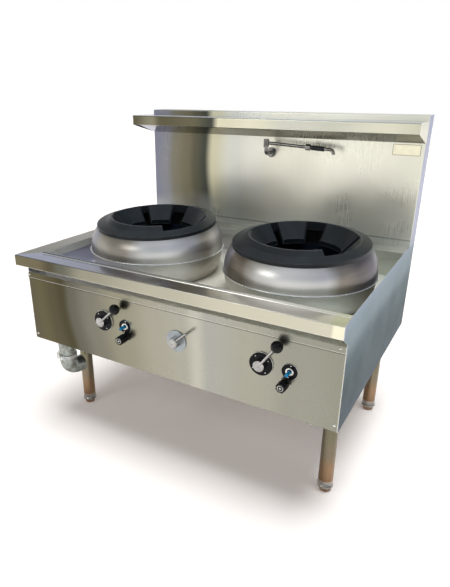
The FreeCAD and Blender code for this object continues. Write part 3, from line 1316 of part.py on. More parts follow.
def drain_elbow():
    """Elbow with its corner at the origin, then turned to its direction and put under the drain."""
    low = COUPLING_BOTTOM - ELBOW_DROP
    route = ((0, 0, COUPLING_MIDDLE - low), (0, 0, 0), (ELBOW_REACH, 0, 0))
    bend = pipe(route, DRAIN_RADIUS, DRAIN_WALL, ELBOW_BEND)
    turn = FreeCAD.Rotation(Vector(0, 0, 1), ELBOW_DIRECTION)
    bend.Placement = FreeCAD.Placement(Vector(DRAIN_X, DRAIN_Y, low), turn)
    return bend


# ================================================================ legs and feet
def leg_tubes():
    tubes = []
    for x, y in CORNERS.values():
        outer = rod((x, y, COLLAR_TOP), (x, y, FRAME_BOTTOM), LEG_RADIUS)
        inner = rod((x, y, COLLAR_TOP - PAST), (x, y, FRAME_BOTTOM + PAST), LEG_RADIUS - LEG_WALL)
        tubes.append(outer.cut(inner))
    return group(tubes)


def leg_collars():
    """Turned end pieces pressed into the tubes, threaded for the feet."""
    inside = LEG_RADIUS - LEG_WALL
    band_top = COLLAR_BOTTOM + COLLAR_BAND
    bore = FOOT_STEM + SLIDE_FIT
    outline = ((bore, COLLAR_BOTTOM), (COLLAR_RADIUS - COLLAR_ROUND, COLLAR_BOTTOM),
               (COLLAR_RADIUS, COLLAR_BOTTOM + COLLAR_ROUND), (COLLAR_RADIUS, band_top),
               (LEG_RADIUS, band_top + COLLAR_TAPER), (LEG_RADIUS, COLLAR_TOP),
               (inside, COLLAR_TOP), (inside, COLLAR_PLUG_TOP), (bore, COLLAR_PLUG_TOP))
    return group([turned(outline, x, y) for x, y in CORNERS.values()])


def foot(corner):
    """Screw-out levelling foot: hexagonal pad, chamfered below, and threaded stem."""
    x, y = CORNERS[corner]
    pad = hexagon((x, y, 0), (0, 0, 1), FOOT_ACROSS, FOOT_TOP)
    chamfer = cone((x, y, 0), (x, y, FOOT_TOP), FOOT_ACROSS / 2 + PAST, FOOT_ACROSS / 2 + 4)
    stem = rod((x, y, FOOT_TOP - PAST), (x, y, FOOT_STEM_TOP), FOOT_STEM)
    return joined([pad.common(chamfer), stem])


# ================================================================ screws
def screw(place, outward, shank_length):
    """A low dome-headed screw whose head stands on a surface."""
    out = Vector(*outward)
    base = Vector(*place)
    ball_radius = (SCREW_HEAD ** 2 + SCREW_DOME ** 2) / (2 * SCREW_DOME)
    ball = Part.makeSphere(ball_radius, base - out * (ball_radius - SCREW_DOME))
    head = ball.common(Part.makeCylinder(SCREW_HEAD, SCREW_DOME, base, out))
    shank = Part.makeCylinder(SCREW_SHANK, shank_length + 0.5, base + out * 0.5, out * -1)
    return joined([head, shank])


def panel_screws():
    screws = []
    for x, z in strip_screw_places():
        screws.append(screw((x, PANEL_Y - PANEL_SHEET, z), (0, -1, 0), 2 * PANEL_SHEET))
    for x, z in lower_screw_places():
        screws.append(screw((x, PANEL_Y, z), (0, -1, 0), PANEL_SHEET))
    for x, y in flange_screw_places():
        screws.append(screw((x, y, STRIP_TOP), (0, 0, 1), PANEL_SHEET))
    return group(screws)


# ================================================================ the range
def all_pieces():
    pieces = {
        "bench_top": bench_top(),
        "deck_pan": deck_pan(),
        "left_side_panel": left_side_panel(),
        "right_side_panel": right_side_panel(),
        "rear_panel": rear_panel(),
        "front_control_panel": front_control_panel(),
        "front_top_strip": front_top_strip(),
        "body_frame": body_frame(),
        "chamber_rails": chamber_rails(),
        "splashback_panel": splashback_panel(),
        "splashback_rear_cover": splashback_rear_cover(),
        "shelf_top": shelf_top(),
        "shelf_underside": shelf_underside(),
        "blank_plate": blank_plate(),
        "chamber_liners": chamber_liners(),
        "pilot_burners": pilot_burners(),
        "gas_manifold": gas_manifold(),
        "gas_valves": gas_valves(),
        "burner_pipes": burner_pipes(),
        "pilot_valves": pilot_valves(),
        "lever_plates": lever_plates(),
        "igniter_plates": igniter_plates(),
        "igniter_bodies": igniter_bodies(),
        "water_valve_plate": water_valve_plate(),
        "water_valve": water_valve(),
        "water_lever": water_lever(),
        "water_pipe": water_pipe(),
        "spout_flange": spout_flange(),
        "spout_riser": spout_riser(),
        "spout_arm": spout_arm(),
        "spout_nut": spout_nut(),
        "spout_grip": spout_grip(),
        "spout_outlet": spout_outlet(),
        "drain_strainer": drain_strainer(),
        "drain_pipe": drain_pipe(),
        "drain_coupling": drain_coupling(),
        "drain_elbow": drain_elbow(),
        "leg_tubes": leg_tubes(),
        "leg_collars": leg_collars(),
        "panel_screws": panel_screws(),
    }
    for side in ("left", "right"):
        pieces["chamber_dome_" + side] = chamber_dome(side)
        pieces["chamber_bowl_" + side] = chamber_bowl(side)
        pieces["wok_ring_" + side] = wok_ring(side)
        pieces["burner_" + side] = burner(side)
        pieces["gas_lever_" + side] = gas_lever(side)
        pieces["lever_ball_" + side] = lever_ball(side)
        pieces["igniter_button_" + side] = igniter_button(side)
        pieces["pilot_knob_" + side] = pilot_knob(side)
    for corner in CORNERS:
        pieces["foot_" + corner] = foot(corner)
    return pieces


def main():
    os.makedirs("parts", exist_ok=True)
    for name, shape in all_pieces().items():
        shape.exportStep("parts/" + name + ".step")
        solids = shape.Solids
        volume = sum(solid.Volume for solid in solids) / 1000.0
        print("%-24s solids %2d  valid %s  volume %9.2f cm3" % (name, len(solids), shape.isValid(), volume))


main()
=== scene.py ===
# %% [markdown]
# # A two-station wok range
# The real object is a bench of folded stainless sheet on four tubular legs. Two spun chambers stand in its
# recess, each with a lift-off cast ring for a wok, and a splashback with a shelf stands behind them.
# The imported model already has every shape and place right, so this lesson leaves it where it is. It adds
# the finishes, the small parts that repeat (screws, weld ripples, threads), turned trims, and a studio.

# %% Load the fixed frame
import json
import math

import bpy
from mathutils import Matrix, Vector


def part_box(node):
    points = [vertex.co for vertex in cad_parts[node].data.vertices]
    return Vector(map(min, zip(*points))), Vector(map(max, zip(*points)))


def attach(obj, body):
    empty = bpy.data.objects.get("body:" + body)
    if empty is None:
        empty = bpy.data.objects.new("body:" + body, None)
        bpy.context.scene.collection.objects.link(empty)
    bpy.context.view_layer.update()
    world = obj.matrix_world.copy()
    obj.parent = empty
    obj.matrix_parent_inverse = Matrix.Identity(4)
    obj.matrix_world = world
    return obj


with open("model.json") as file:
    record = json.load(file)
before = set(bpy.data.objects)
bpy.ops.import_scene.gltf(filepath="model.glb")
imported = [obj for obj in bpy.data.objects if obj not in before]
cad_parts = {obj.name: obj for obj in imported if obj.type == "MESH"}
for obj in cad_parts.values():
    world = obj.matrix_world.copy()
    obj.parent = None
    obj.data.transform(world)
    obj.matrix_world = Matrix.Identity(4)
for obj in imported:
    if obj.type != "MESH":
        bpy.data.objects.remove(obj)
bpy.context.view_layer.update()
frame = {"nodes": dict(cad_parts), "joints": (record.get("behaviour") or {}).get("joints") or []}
nodes = frame["nodes"]
joints = {joint["name"]: joint for joint in frame["joints"]}

# %% [markdown]
# ## The camera
# A camera could be placed by eye, but straight steel edges show the smallest error. Its place, turn and
# lens were solved from the edges and round rings in the photograph, so they are plain numbers here. The
# small shift says that the photograph was cropped off its middle.

# %% Camera
CAMERA_PLACE = (0.8929, -1.6326, 1.2595)
CAMERA_TURN = 30.90
CAMERA_TILT = 21.91
LENS = 31.72
CAMERA_SHIFT = (0.0381, 0.0104)

camera_data = bpy.data.cameras.new("camera")
camera_data.lens = LENS
camera_data.sensor_width = 36.0
camera_data.shift_x = CAMERA_SHIFT[0]
camera_data.shift_y = CAMERA_SHIFT[1]
camera = bpy.data.objects.new("camera", camera_data)
camera.location = CAMERA_PLACE
camera.rotation_euler = (math.radians(90 - CAMERA_TILT), 0, math.radians(CAMERA_TURN))
bpy.context.scene.collection.objects.link(camera)
bpy.context.scene.camera = camera
bpy.context.scene.view_settings.view_transform = "Standard"
print("camera lens", LENS)

# %% [markdown]
# ## A short way to build materials
# Every finish below is a small graph of nodes. Written out in full, each node takes four lines, so one
# helper keeps the tree and makes a node with its inputs in a single call. Colours are written as they
# look on a screen, and turned into the linear values that shaders work with.

# %% The material helper
def shade(code):
    """A colour written as RRGGBB, as linear red, green, blue and alpha."""
    channels = [int(code[start:start + 2], 16) / 255 for start in (0, 2, 4)]
    return [channel / 12.92 if channel <= 0.04045 else ((channel + 0.055) / 1.055) ** 2.4
            for channel in channels] + [1.0]


class Graph:
    """A node tree while it is being built, with short calls for its nodes."""

    def node(self, kind, inputs=None, **settings):
        made = self.tree.nodes.new(kind)
        for setting, value in settings.items():
            setattr(made, setting, value)
        for socket, value in (inputs or {}).items():
            self.feed(made.inputs[socket], value)
        return made

    def feed(self, socket, value):
        if isinstance(value, bpy.types.NodeSocket):
            self.tree.links.new(value, socket)
        else:
            socket.default_value = value

    def maths(self, operation, first, second=0.0):
        return self.node("ShaderNodeMath", {0: first, 1: second}, operation=operation).outputs[0]


class Finish(Graph):
    """One material, with short calls for the nodes that finishes need."""

    def __init__(self, name, metallic=1.0, roughness=0.3):
        self.material = bpy.data.materials.new(name)
        self.material.use_nodes = True
        self.tree = self.material.node_tree
        self.shader = self.tree.nodes["Principled BSDF"]
        self.shader.inputs["Metallic"].default_value = metallic
        self.shader.inputs["Roughness"].default_value = roughness
        coordinates = self.node("ShaderNodeTexCoord")
        self.place = coordinates.outputs["Object"]
        self.facing = coordinates.outputs["Normal"]

    def part_of(self, vector, axis):
        return self.node("ShaderNodeSeparateXYZ", {0: vector}).outputs["XYZ".index(axis)]

    def span(self, value, low, high, to_low=0.0, to_high=1.0, soft=True):
        """Value taken from low..high to to_low..to_high, level outside."""
        kind = "SMOOTHSTEP" if soft else "LINEAR"
        inputs = {0: value, 1: low, 2: high, 3: to_low, 4: to_high}
        return self.node("ShaderNodeMapRange", inputs, interpolation_type=kind).outputs[0]

    def noise(self, scale, stretch=(1.0, 1.0, 1.0), detail=2.0, place=None, shift=(0.0, 0.0, 0.0)):
        inputs = {"Vector": place or self.place, "Scale": stretch, "Location": shift}
        laid = self.node("ShaderNodeMapping", inputs).outputs[0]
        inputs = {"Vector": laid, "Scale": scale, "Detail": detail}
        return self.node("ShaderNodeTexNoise", inputs).outputs[0]

    def mix(self, factor, first, second, blend="MIX"):
        return self.node("ShaderNodeMix", {0: factor, 6: first, 7: second}, data_type="RGBA",
                         blend_type=blend).outputs[2]

    def ramp(self, value, stops):
        made = self.node("ShaderNodeValToRGB", {0: value})
        made.color_ramp.interpolation = "EASE"
        elements = made.color_ramp.elements
        while len(elements) < len(stops):
            elements.new(0.5)
        for element, (position, code) in zip(elements, stops):
            element.position = position
            element.color = shade(code)
        return made.outputs[0]

    def bump(self, height, distance, strength=1.0, over=None):
        inputs = {"Height": height, "Distance": distance, "Strength": strength}
        if over:
            inputs["Normal"] = over
        return self.node("ShaderNodeBump", inputs).outputs[0]

    def edges(self, radius):
        """1 near the piece's edges and bends, 0 on its flats."""
        softened = self.node("ShaderNodeBevel", {"Radius": radius}, samples=6).outputs[0]
        true = self.node("ShaderNodeNewGeometry").outputs["Normal"]
        match = self.node("ShaderNodeVectorMath", {0: softened, 1: true}, operation="DOT_PRODUCT")
        return self.span(match.outputs["Value"], 0.999, 0.93)

    def finish(self, colour, roughness=None, normal=None, metallic=None):
        self.feed(self.shader.inputs["Base Color"], colour)
        if metallic is not None:
            self.feed(self.shader.inputs["Metallic"], metallic)
        if roughness is not None:
            self.feed(self.shader.inputs["Roughness"], roughness)
        if normal is not None:
            self.feed(self.shader.inputs["Normal"], normal)
        print("finish", self.material.name, len(self.tree.nodes), "nodes")
        return self.material


def wear(names, material):
    """Puts one material on each of these nodes."""
    for name in names:
        for place in nodes[name].material_slots:
            place.material = material


# %% [markdown]
# ## The studio
# The range stands on a pale floor that runs out to a white distance. Camera, glossy and transmission rays
# all see that same white low down, so that the steel shows it too. Higher up, the world has a few broad
# soft areas, as a real room does: warm and dim to the left, cooler to the right, pale above. Bent metal
# has nothing else to show its shape with.

# %% Floor and world
FLOOR_SIZE = 40.0
FLOOR_GLOW = 0.28
AMBIENT = 0.36

floor_mesh = bpy.data.meshes.new("floor")
half = FLOOR_SIZE / 2
floor_corners = [(-half, -half, 0), (half, -half, 0), (half, half, 0), (-half, half, 0)]
floor_mesh.from_pydata(floor_corners, [], [(0, 1, 2, 3)])
floor = bpy.data.objects.new("floor", floor_mesh)
bpy.context.scene.collection.objects.link(floor)


def sees_background(finish):
    """1 for camera, glossy and transmission rays, else 0."""
    light_path = finish.node("ShaderNodeLightPath")
    seen = finish.maths("MAXIMUM", light_path.outputs["Is Camera Ray"], light_path.outputs["Is Glossy Ray"])
    return finish.maths("MAXIMUM", seen, light_path.outputs["Is Transmission Ray"])


studio_floor = Finish("studio_floor", metallic=0.0, roughness=1.0)
studio_floor.shader.inputs["Specular IOR Level"].default_value = 0.0
floor_mottle = studio_floor.noise(3.0)
floor_colour = studio_floor.mix(floor_mottle, shade("f4f2f0"), shade("f7f5f3"))
studio_floor.feed(studio_floor.shader.inputs["Emission Color"], shade("e8d9d0"))
floor_glow = studio_floor.maths("MULTIPLY", sees_background(studio_floor), FLOOR_GLOW)
studio_floor.feed(studio_floor.shader.inputs["Emission Strength"], floor_glow)
floor_mesh.materials.append(studio_floor.finish(floor_colour))


class Surroundings(Finish):
    """The world's own tree, built with the same short calls."""

    def __init__(self):
        world = bpy.data.worlds.new("studio_room")
        bpy.context.scene.world = world
        world.use_nodes = True
        self.tree = world.node_tree
        self.background = self.tree.nodes["Background"]
        self.place = self.node("ShaderNodeTexCoord").outputs["Generated"]


studio = Surroundings()
way_x = studio.part_of(studio.place, "X")
way_z = studio.part_of(studio.place, "Z")
room = studio.mix(studio.span(way_x, 0.25, 0.85), shade("bcc1c6"), shade("a3a8bc"))
room = studio.mix(studio.span(way_x, -0.25, -0.85), room, shade("8d897a"))
room = studio.mix(studio.span(way_z, 0.75, 0.95), room, shade("dfe2e8"))
low_down = studio.span(way_z, 0.22, 0.42, 1.0, 0.0)
studio.feed(studio.background.inputs["Color"], studio.mix(low_down, room, (1.0, 1.0, 1.0, 1.0)))
level = studio.span(sees_background(studio), 0.0, 1.0, AMBIENT, 1.0, soft=False)
studio.feed(studio.background.inputs["Strength"], level)
print("studio world", len(studio.tree.nodes), "nodes")

# %% [markdown]
# One very wide sun from above gives the same level all over the floor, and the soft shadow under the range.
# Its disc would burn spots into the spun domes, so polished faces don't see it. They see the room, and one
# weak, window-sized panel that puts a small highlight on the domes and on the black balls.

# %% Lamps
SUN_STRENGTH = 2.8
SUN_PLACE = (0.55, -0.3, 4.0)
SUN_SPREAD = 30
WINDOW_POWER = 8.0
WINDOW_PLACE = (-1.0, -2.35, 2.2)
WINDOW_AIM = (0.1, 0.0, 0.76)
WINDOW_SIZE = (1.0, 0.5)


def lamp(name, kind, energy, place, aim, **settings):
    data = bpy.data.lights.new(name, kind)
    data.energy = energy
    for setting, value in settings.items():
        setattr(data, setting, value)
    made = bpy.data.objects.new(name, data)
    made.location = place
    made.rotation_euler = (Vector(aim) - Vector(place)).to_track_quat("-Z", "Y").to_euler()
    bpy.context.scene.collection.objects.link(made)
    return made


overhead = lamp("overhead", "SUN", SUN_STRENGTH, SUN_PLACE, (0, 0, 0), angle=math.radians(SUN_SPREAD))
overhead.visible_glossy = False
lamp("window", "AREA", WINDOW_POWER, WINDOW_PLACE, WINDOW_AIM, shape="RECTANGLE", size=WINDOW_SIZE[0],
     size_y=WINDOW_SIZE[1])
print("lamps ready")

# %% [markdown]
# ## Brushed sheet
# A stainless panel is ground with a belt, which leaves fine straight lines one way. Across the lines the
# steel spreads a reflection, along them it keeps it, and that is why a panel looks streaky. Three noises
# stretched along the grain do it: a fine one for the lines, a broad one for soft bands, and a plain one
# for smudges. The lines feed colour, roughness and bump, so that a line is one thing in all three, while
# the bands change only the colour and the smudges only the roughness.
# Edges and bends also get a painted highlight: their colour is mixed towards near-white.

# %% The brushed sheet recipe
GRAIN = {"X": (0.6, 90.0, 90.0), "Y": (90.0, 0.6, 90.0), "Z": (90.0, 90.0, 0.6)}
BAND = {"X": (0.25, 9.0, 9.0), "Y": (9.0, 0.25, 9.0), "Z": (9.0, 9.0, 0.25)}
LINE_ROUGHNESS = 0.012
EDGE_HIGHLIGHT_WIDTH = 0.0024
EDGE_HIGHLIGHT_SHARE = 0.85


def brushed(finish, colour, grain, roughness=0.28, depth=0.0000015, contrast=0.03, metallic=None):
    """Adds grain, bands, smudges and a painted highlight on edges and bends to a colour, and finishes the
    material.
    """
    lines = finish.noise(6.0, GRAIN[grain], detail=3.0)
    bands = finish.noise(1.0, BAND[grain], detail=2.0, shift=(3.0, 7.0, 1.0))
    smudge = finish.noise(5.0, detail=4.0)
    light = finish.maths("ADD", finish.span(lines, 0.3, 0.7, -contrast / 2, contrast / 2, soft=False),
                         finish.span(bands, 0.3, 0.7, 1.0 - contrast / 2, 1.0 + contrast / 2))
    light = finish.node("ShaderNodeCombineXYZ", {0: light, 1: light, 2: light}).outputs[0]
    toned = finish.mix(1.0, colour, light, blend="MULTIPLY")
    # Painted highlight on edges and bends.
    edge = finish.maths("MULTIPLY", finish.edges(EDGE_HIGHLIGHT_WIDTH), EDGE_HIGHLIGHT_SHARE)
    toned = finish.mix(edge, toned, shade("fbfaf4"))
    rough = finish.span(lines, 0.3, 0.7, roughness - LINE_ROUGHNESS, roughness + LINE_ROUGHNESS, soft=False)
    rough = finish.maths("ADD", rough, finish.span(smudge, 0.35, 0.7, -0.03, 0.05))
    return finish.finish(toned, rough, finish.bump(lines, depth, 0.6), metallic)


def across_sheet(finish, stops, low, high, sway=0.0):
    """Soft bands of painted reflection across a sheet, which lean and curve by sway metres."""
    along = finish.part_of(finish.place, "X")
    if sway:
        drift = finish.noise(1.6, (1.0, 1.0, 2.2), detail=0.0)
        along = finish.maths("ADD", along, finish.span(drift, 0.2, 0.8, -sway, sway, soft=False))
    return finish.ramp(finish.span(along, low, high, soft=False), stops)


# %% [markdown]
# ### Front panel and strip
# The front shows the ground in front of it: olive and dark at the left, paler and warmer to the right. A
# ramp across the sheet paints that reflection into the colour. Faces that look up are painted paler, and a
# thin painted shadow lies under the strip's lower edge.

# %% Front finishes
front_low, front_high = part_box("front_control_panel")
front = Finish("front_sheet")
strip_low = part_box("front_top_strip")[0]
# Painted reflection of the ground, as bands across the sheet.
front_painted_reflection = ((0.0, "565140"), (0.05, "5c573f"), (0.11, "514c38"), (0.155, "47442f"), (0.19, "605e53"),
               (0.26, "767468"), (0.36, "8b8977"), (0.48, "9b998b"), (0.56, "a09f93"), (0.60, "b3b2a6"),
               (0.64, "9fa099"), (0.76, "9e9d90"), (0.88, "929287"), (1.0, "8d8e81"))
front_colour = across_sheet(front, front_painted_reflection, front_low.x, front_high.x, sway=0.03)
front_height = front.part_of(front.place, "Z")
# Faces that look up are painted paler, with less metal.
front_up_painted_pale = front.span(front.part_of(front.facing, "Z"), 0.5, 0.8)
front_colour = front.mix(front_up_painted_pale, front_colour, shade("dcdad0"))
# Painted shadow: a thin dark line just under the strip's lower edge.
lap_painted_shadow = front.maths("MULTIPLY", front.span(front_height, strip_low.z - 0.006, strip_low.z - 0.001),
                        front.span(front_height, strip_low.z + 0.0005, strip_low.z - 0.0005))
front_colour = front.mix(front.maths("MULTIPLY", lap_painted_shadow, 0.75), front_colour, shade("3a372c"))
front_metal = front.span(front_up_painted_pale, 0.0, 1.0, 1.0, 0.25, soft=False)
front_sheet = brushed(front, front_colour, "Z", roughness=0.27, metallic=front_metal)
wear(["front_control_panel", "front_top_strip"], front_sheet)

# %% [markdown]
# ### Side and rear sheets
# Faces that look right carry a painted reflection of open sky, a cool blue-grey that is dark low down and
# paler higher up, and faces that look left are painted a pale cream. The rear was never in the photograph
# and gets the same sheet in a plain middle tone. Its cover is held by flush rivets. They lie in the face, so
# they are drawn by the finish: the distance to the nearest rivet of a row, as a bright disc in a ring.

# %% Side and rear finishes
side = Finish("side_sheet", metallic=0.85)
side_height = side.part_of(side.place, "Z")
# Painted reflection: cool blue-grey, dark low down and paler higher up.
side_painted_tone = side.ramp(side.span(side_height, 0.37, 0.74, soft=False),
                      ((0.0, "444c58"), (0.3, "404b50"), (0.55, "536167"), (0.8, "8f9ca4"), (1.0, "a2acbc")))
# Faces that look left are painted pale cream.
left_faces_painted_pale = side.span(side.part_of(side.facing, "X"), -0.5, -0.8)
side_painted_tone = side.mix(left_faces_painted_pale, side_painted_tone, shade("d2d5c9"))
side.shader.inputs["Specular Tint"].default_value = shade("c6d0d3")
side_sheet = brushed(side, side_painted_tone, "Z", roughness=0.38, depth=0.0000005, contrast=0.02)
wear(["left_side_panel", "right_side_panel"], side_sheet)

plain = Finish("plain_sheet")
plain_tone = plain.mix(plain.noise(1.3, detail=1.0), shade("8e8d84"), shade("a9a9a4"))
cover_low, cover_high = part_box("splashback_rear_cover")
RIVET_GAP = 0.11
RIVET_INSET = 0.014
RIVET_RADIUS = 0.0034
gap_x = (cover_high.x - cover_low.x - 2 * RIVET_INSET) / round((cover_high.x - cover_low.x) / RIVET_GAP)
along_row = plain.maths("SUBTRACT", plain.part_of(plain.place, "X"), cover_low.x + RIVET_INSET)
from_rivet = plain.maths("PINGPONG", along_row, gap_x / 2)
up = plain.part_of(plain.place, "Z")
for row_height in (cover_low.z + RIVET_INSET, cover_high.z - RIVET_INSET):
    from_row = plain.maths("SUBTRACT", up, row_height)
    reach = plain.node("ShaderNodeCombineXYZ", {0: from_rivet, 2: from_row}).outputs[0]
    reach = plain.node("ShaderNodeVectorMath", {0: reach}, operation="LENGTH").outputs["Value"]
    plain_tone = plain.mix(plain.span(reach, 1.25 * RIVET_RADIUS, RIVET_RADIUS), plain_tone, shade("4d4c47"))
    plain_tone = plain.mix(plain.span(reach, RIVET_RADIUS, 0.75 * RIVET_RADIUS), plain_tone, shade("d2d2cc"))
plain_sheet = brushed(plain, plain_tone, "Z", roughness=0.32)
wear(["rear_panel", "splashback_rear_cover"], plain_sheet)

# %% [markdown]
# ### Splashback
# This is the largest mirror on the range, and its reflection is painted into the colour: broad upright
# bands, lavender at the far left, then olive, a dark stripe, and cream, which fade to a dull grey low down
# where the chambers stand before it. The same panel folds round into a right-hand return painted a cool
# blue, so its finish also asks which way a face looks.

# %% Splashback finish
splash_low, splash_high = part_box("splashback_panel")
splash = Finish("splash_sheet")
JOIN_HEIGHT = 0.742
# Painted reflection, as upright bands across the panel.
splash_painted_reflection = ((0.0, "7d8090"), (0.06, "85868c"), (0.10, "7d7a6a"), (0.16, "726e59"), (0.20, "5c5a4a"),
                (0.24, "474a42"), (0.275, "d2cfb2"), (0.36, "d6d8cf"), (0.44, "e8e8dd"), (0.52, "eeecdc"),
                (0.62, "eae9da"), (0.74, "f4f3e4"), (0.86, "efeedf"), (1.0, "e8e8d8"))
splash_tone = across_sheet(splash, splash_painted_reflection, splash_low.x, splash_high.x, sway=0.02)
splash_z = splash.part_of(splash.place, "Z")
splash_height = splash.maths("ADD", splash_z,
                             splash.span(splash.noise(4.0, detail=1.0), 0.3, 0.7, -0.04, 0.04))
# Painted reflection of the chambers: low down the bands fade to a dull pale grey.
low_painted_reflection = splash.span(splash_height, 0.70, 0.86, 0.8, 0.0)
splash_tone = splash.mix(low_painted_reflection, splash_tone, shade("e6e9e4"))
join = splash.maths("MULTIPLY", splash.span(splash_z, JOIN_HEIGHT + 0.003, JOIN_HEIGHT + 0.001),
                    splash.span(splash_z, JOIN_HEIGHT - 0.003, JOIN_HEIGHT - 0.001))
splash_tone = splash.mix(splash.maths("MULTIPLY", join, 0.6), splash_tone, shade("4c4f4a"))
splash_metal = splash.span(low_painted_reflection, 0.0, 0.8, 0.85, 0.25, soft=False)
# Faces that look right are painted a cool blue.
right_return_painted_cool = splash.span(splash.part_of(splash.facing, "X"), 0.5, 0.8)
splash_tone = splash.mix(right_return_painted_cool, splash_tone, shade("8f99b8"))
splash_sheet = brushed(splash, splash_tone, "Z", roughness=0.30, depth=0.0000001, metallic=splash_metal)
wear(["splashback_panel"], splash_sheet)

# %% [markdown]
# ### Bench top
# One sheet has faces every way: a top, a hanging fascia and the lips of the recess. Its finish paints a
# reflection tone for each, bands across the top and the fascia and a pale tone on the inner lips, and picks
# by the way the face looks. The left rim meets the front ledge on a mitre, and the rim's painted reflection
# is darker up to that line.

# %% Bench finish
bench_low, bench_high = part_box("bench_top")
LEDGE = 0.077
RIM = 0.0745
bench = Finish("bench_sheet")
bench_x = bench.part_of(bench.place, "X")
bench_y = bench.part_of(bench.place, "Y")
# Painted reflection across the ledge top.
ledge_painted_reflection = ((0.0, "9098b6"), (0.25, "959ab0"), (0.40, "a8a3a4"), (0.50, "b0aaa2"), (0.66, "bab4ac"),
               (0.76, "cfcac0"), (0.9, "d2cec4"), (0.97, "cdcaba"), (0.975, "c8c8a8"), (1.0, "c8c8a8"))
ledge_tone = across_sheet(bench, ledge_painted_reflection, bench_low.x, bench_high.x, sway=0.02)
from_left = bench.maths("DIVIDE", bench.maths("SUBTRACT", bench_x, bench_low.x), RIM)
from_front = bench.maths("DIVIDE", bench.maths("SUBTRACT", bench_y, bench_low.y), LEDGE)
# The left rim up to the mitre gets a darker painted reflection.
on_rim = bench.maths("MULTIPLY", bench.maths("LESS_THAN", from_left, from_front),
                     bench.maths("LESS_THAN", from_left, 1.02))
top_tone = bench.mix(on_rim, ledge_tone, shade("77756c"))
at_rear = bench.span(bench_y, 0.20, 0.24)
top_tone = bench.mix(at_rear, top_tone, shade("c9cbc2"))
# Painted reflection across the fascia.
fascia_painted_reflection = ((0.0, "6c664f"), (0.10, "6a634d"), (0.15, "514c3a"), (0.19, "5f6156"), (0.28, "908e7e"),
                (0.5, "aaa897"), (0.75, "bebcaa"), (0.978, "c4c2b0"), (0.982, "e6e4cc"), (1.0, "e6e4cc"))
fascia_tone = across_sheet(bench, fascia_painted_reflection, bench_low.x, bench_high.x, sway=0.02)
looks_up = bench.span(bench.part_of(bench.facing, "Z"), 0.4, 0.8)
bench_tone = bench.mix(looks_up, fascia_tone, top_tone)
# The inner lips of the recess are painted pale, with less metal.
INNER = 0.004
inner_lips_painted_pale = bench.span(bench_x, bench_low.x + INNER, bench_low.x + 2 * INNER)
for low, high in ((bench_low.y + INNER, bench_low.y + 2 * INNER),
                  (bench_high.y - INNER, bench_high.y - 2 * INNER)):
    inner_lips_painted_pale = bench.maths("MULTIPLY", inner_lips_painted_pale, bench.span(bench_y, low, high))
inner_lips_painted_pale = bench.maths("MULTIPLY", inner_lips_painted_pale, bench.maths("SUBTRACT", 1.0, looks_up))
bench_tone = bench.mix(inner_lips_painted_pale, bench_tone, shade("dadcd4"))
ledge_metal = bench.span(bench_x, 0.05, 0.35, 0.95, 0.55)
ledge_metal = bench.span(looks_up, 0.0, 1.0, 0.95, ledge_metal, soft=False)
bench_metal = bench.span(inner_lips_painted_pale, 0.0, 1.0, ledge_metal, 0.30, soft=False)
wear(["bench_top"], brushed(bench, bench_tone, "Y", roughness=0.17, depth=0.000002, metallic=bench_metal))

# %% [markdown]
# ### Deck
# The pan is the same steel, worked less and washed more, so it is duller, with faint water marks, and a
# painted reflection runs across it in bands, lavender at the left.

# %% Deck finish
deck = Finish("deck_sheet", metallic=0.22)
deck_low, deck_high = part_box("deck_pan")
# Painted reflection, as bands across the pan.
deck_painted_reflection = ((0.0, "c4c6d6"), (0.2, "c8c8d0"), (0.45, "d6d4c8"), (0.7, "d8d7cc"), (1.0, "d8dcd2"))
deck_tone = across_sheet(deck, deck_painted_reflection, deck_low.x, deck_high.x, sway=0.05)
marks = deck.span(deck.noise(9.0, detail=5.0), 0.5, 0.66)
deck_tone = deck.mix(deck.maths("MULTIPLY", marks, 0.25), deck_tone, shade("b9b7ab"))
wear(["deck_pan"], brushed(deck, deck_tone, "X", roughness=0.38))

# %% [markdown]
# ### Shelf
# The shelf front repeats the splashback's painted reflection bands, its top faces are painted a cool grey
# and its left end lavender, and its sloping underside is smoother, with darker bands of painted reflection.

# %% Shelf finishes
shelf_low, shelf_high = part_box("shelf_top")
shelf = Finish("shelf_sheet")
# Painted reflection, as bands across the shelf front.
shelf_painted_reflection = ((0.0, "5d5a47"), (0.08, "86836f"), (0.12, "5c5946"), (0.25, "66634f"), (0.33, "474a42"),
               (0.36, "d8d5ba"), (0.48, "dbd9c2"), (0.62, "c8c9bd"), (0.75, "c6c7b8"), (0.9, "d6d5c2"),
               (1.0, "c9c8b4"))
shelf_tone = across_sheet(shelf, shelf_painted_reflection, shelf_low.x, shelf_high.x, sway=0.01)
# Top faces are painted a cool grey.
shelf_top_painted = shelf.span(shelf.part_of(shelf.facing, "Z"), 0.5, 0.8)
shelf_tone = shelf.mix(shelf_top_painted, shelf_tone, shade("c2c6cc"))
# The left end is painted lavender.
shelf_end_painted_lavender = shelf.span(shelf.part_of(shelf.facing, "X"), -0.4, -0.8)
shelf_tone = shelf.mix(shelf_end_painted_lavender, shelf_tone, shade("aab4dc"))
wear(["shelf_top"], brushed(shelf, shelf_tone, "Z", roughness=0.20))

under = Finish("shelf_under_sheet")
# Darker painted reflection on the underside.
under_painted_reflection = ((0.0, "8388a2"), (0.1, "6e6d6d"), (0.3, "5c5a50"), (0.38, "98937a"), (0.7, "8f8d7c"),
               (1.0, "77766b"))
under_tone = across_sheet(under, under_painted_reflection, shelf_low.x, shelf_high.x)
wear(["shelf_underside"], brushed(under, under_tone, "Z", roughness=0.16))

# %% [markdown]
# ## Spun chambers
# The domes and bowls are spun on a lathe and then polished round, so their faint lines are rings about
# the chamber's own axis. Object coordinates are moved to that axis by a Mapping node, and the distance
# from it with the height is all that the ring noise reads.
# Their reflections are painted into the colour by the angle round the axis, and each dome gets a painted
# shadow under its ring.

# %% Spun finish
def chamber_axis(name):
    low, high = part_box(name)
    return ((low.x + high.x) / 2, (low.y + high.y) / 2)


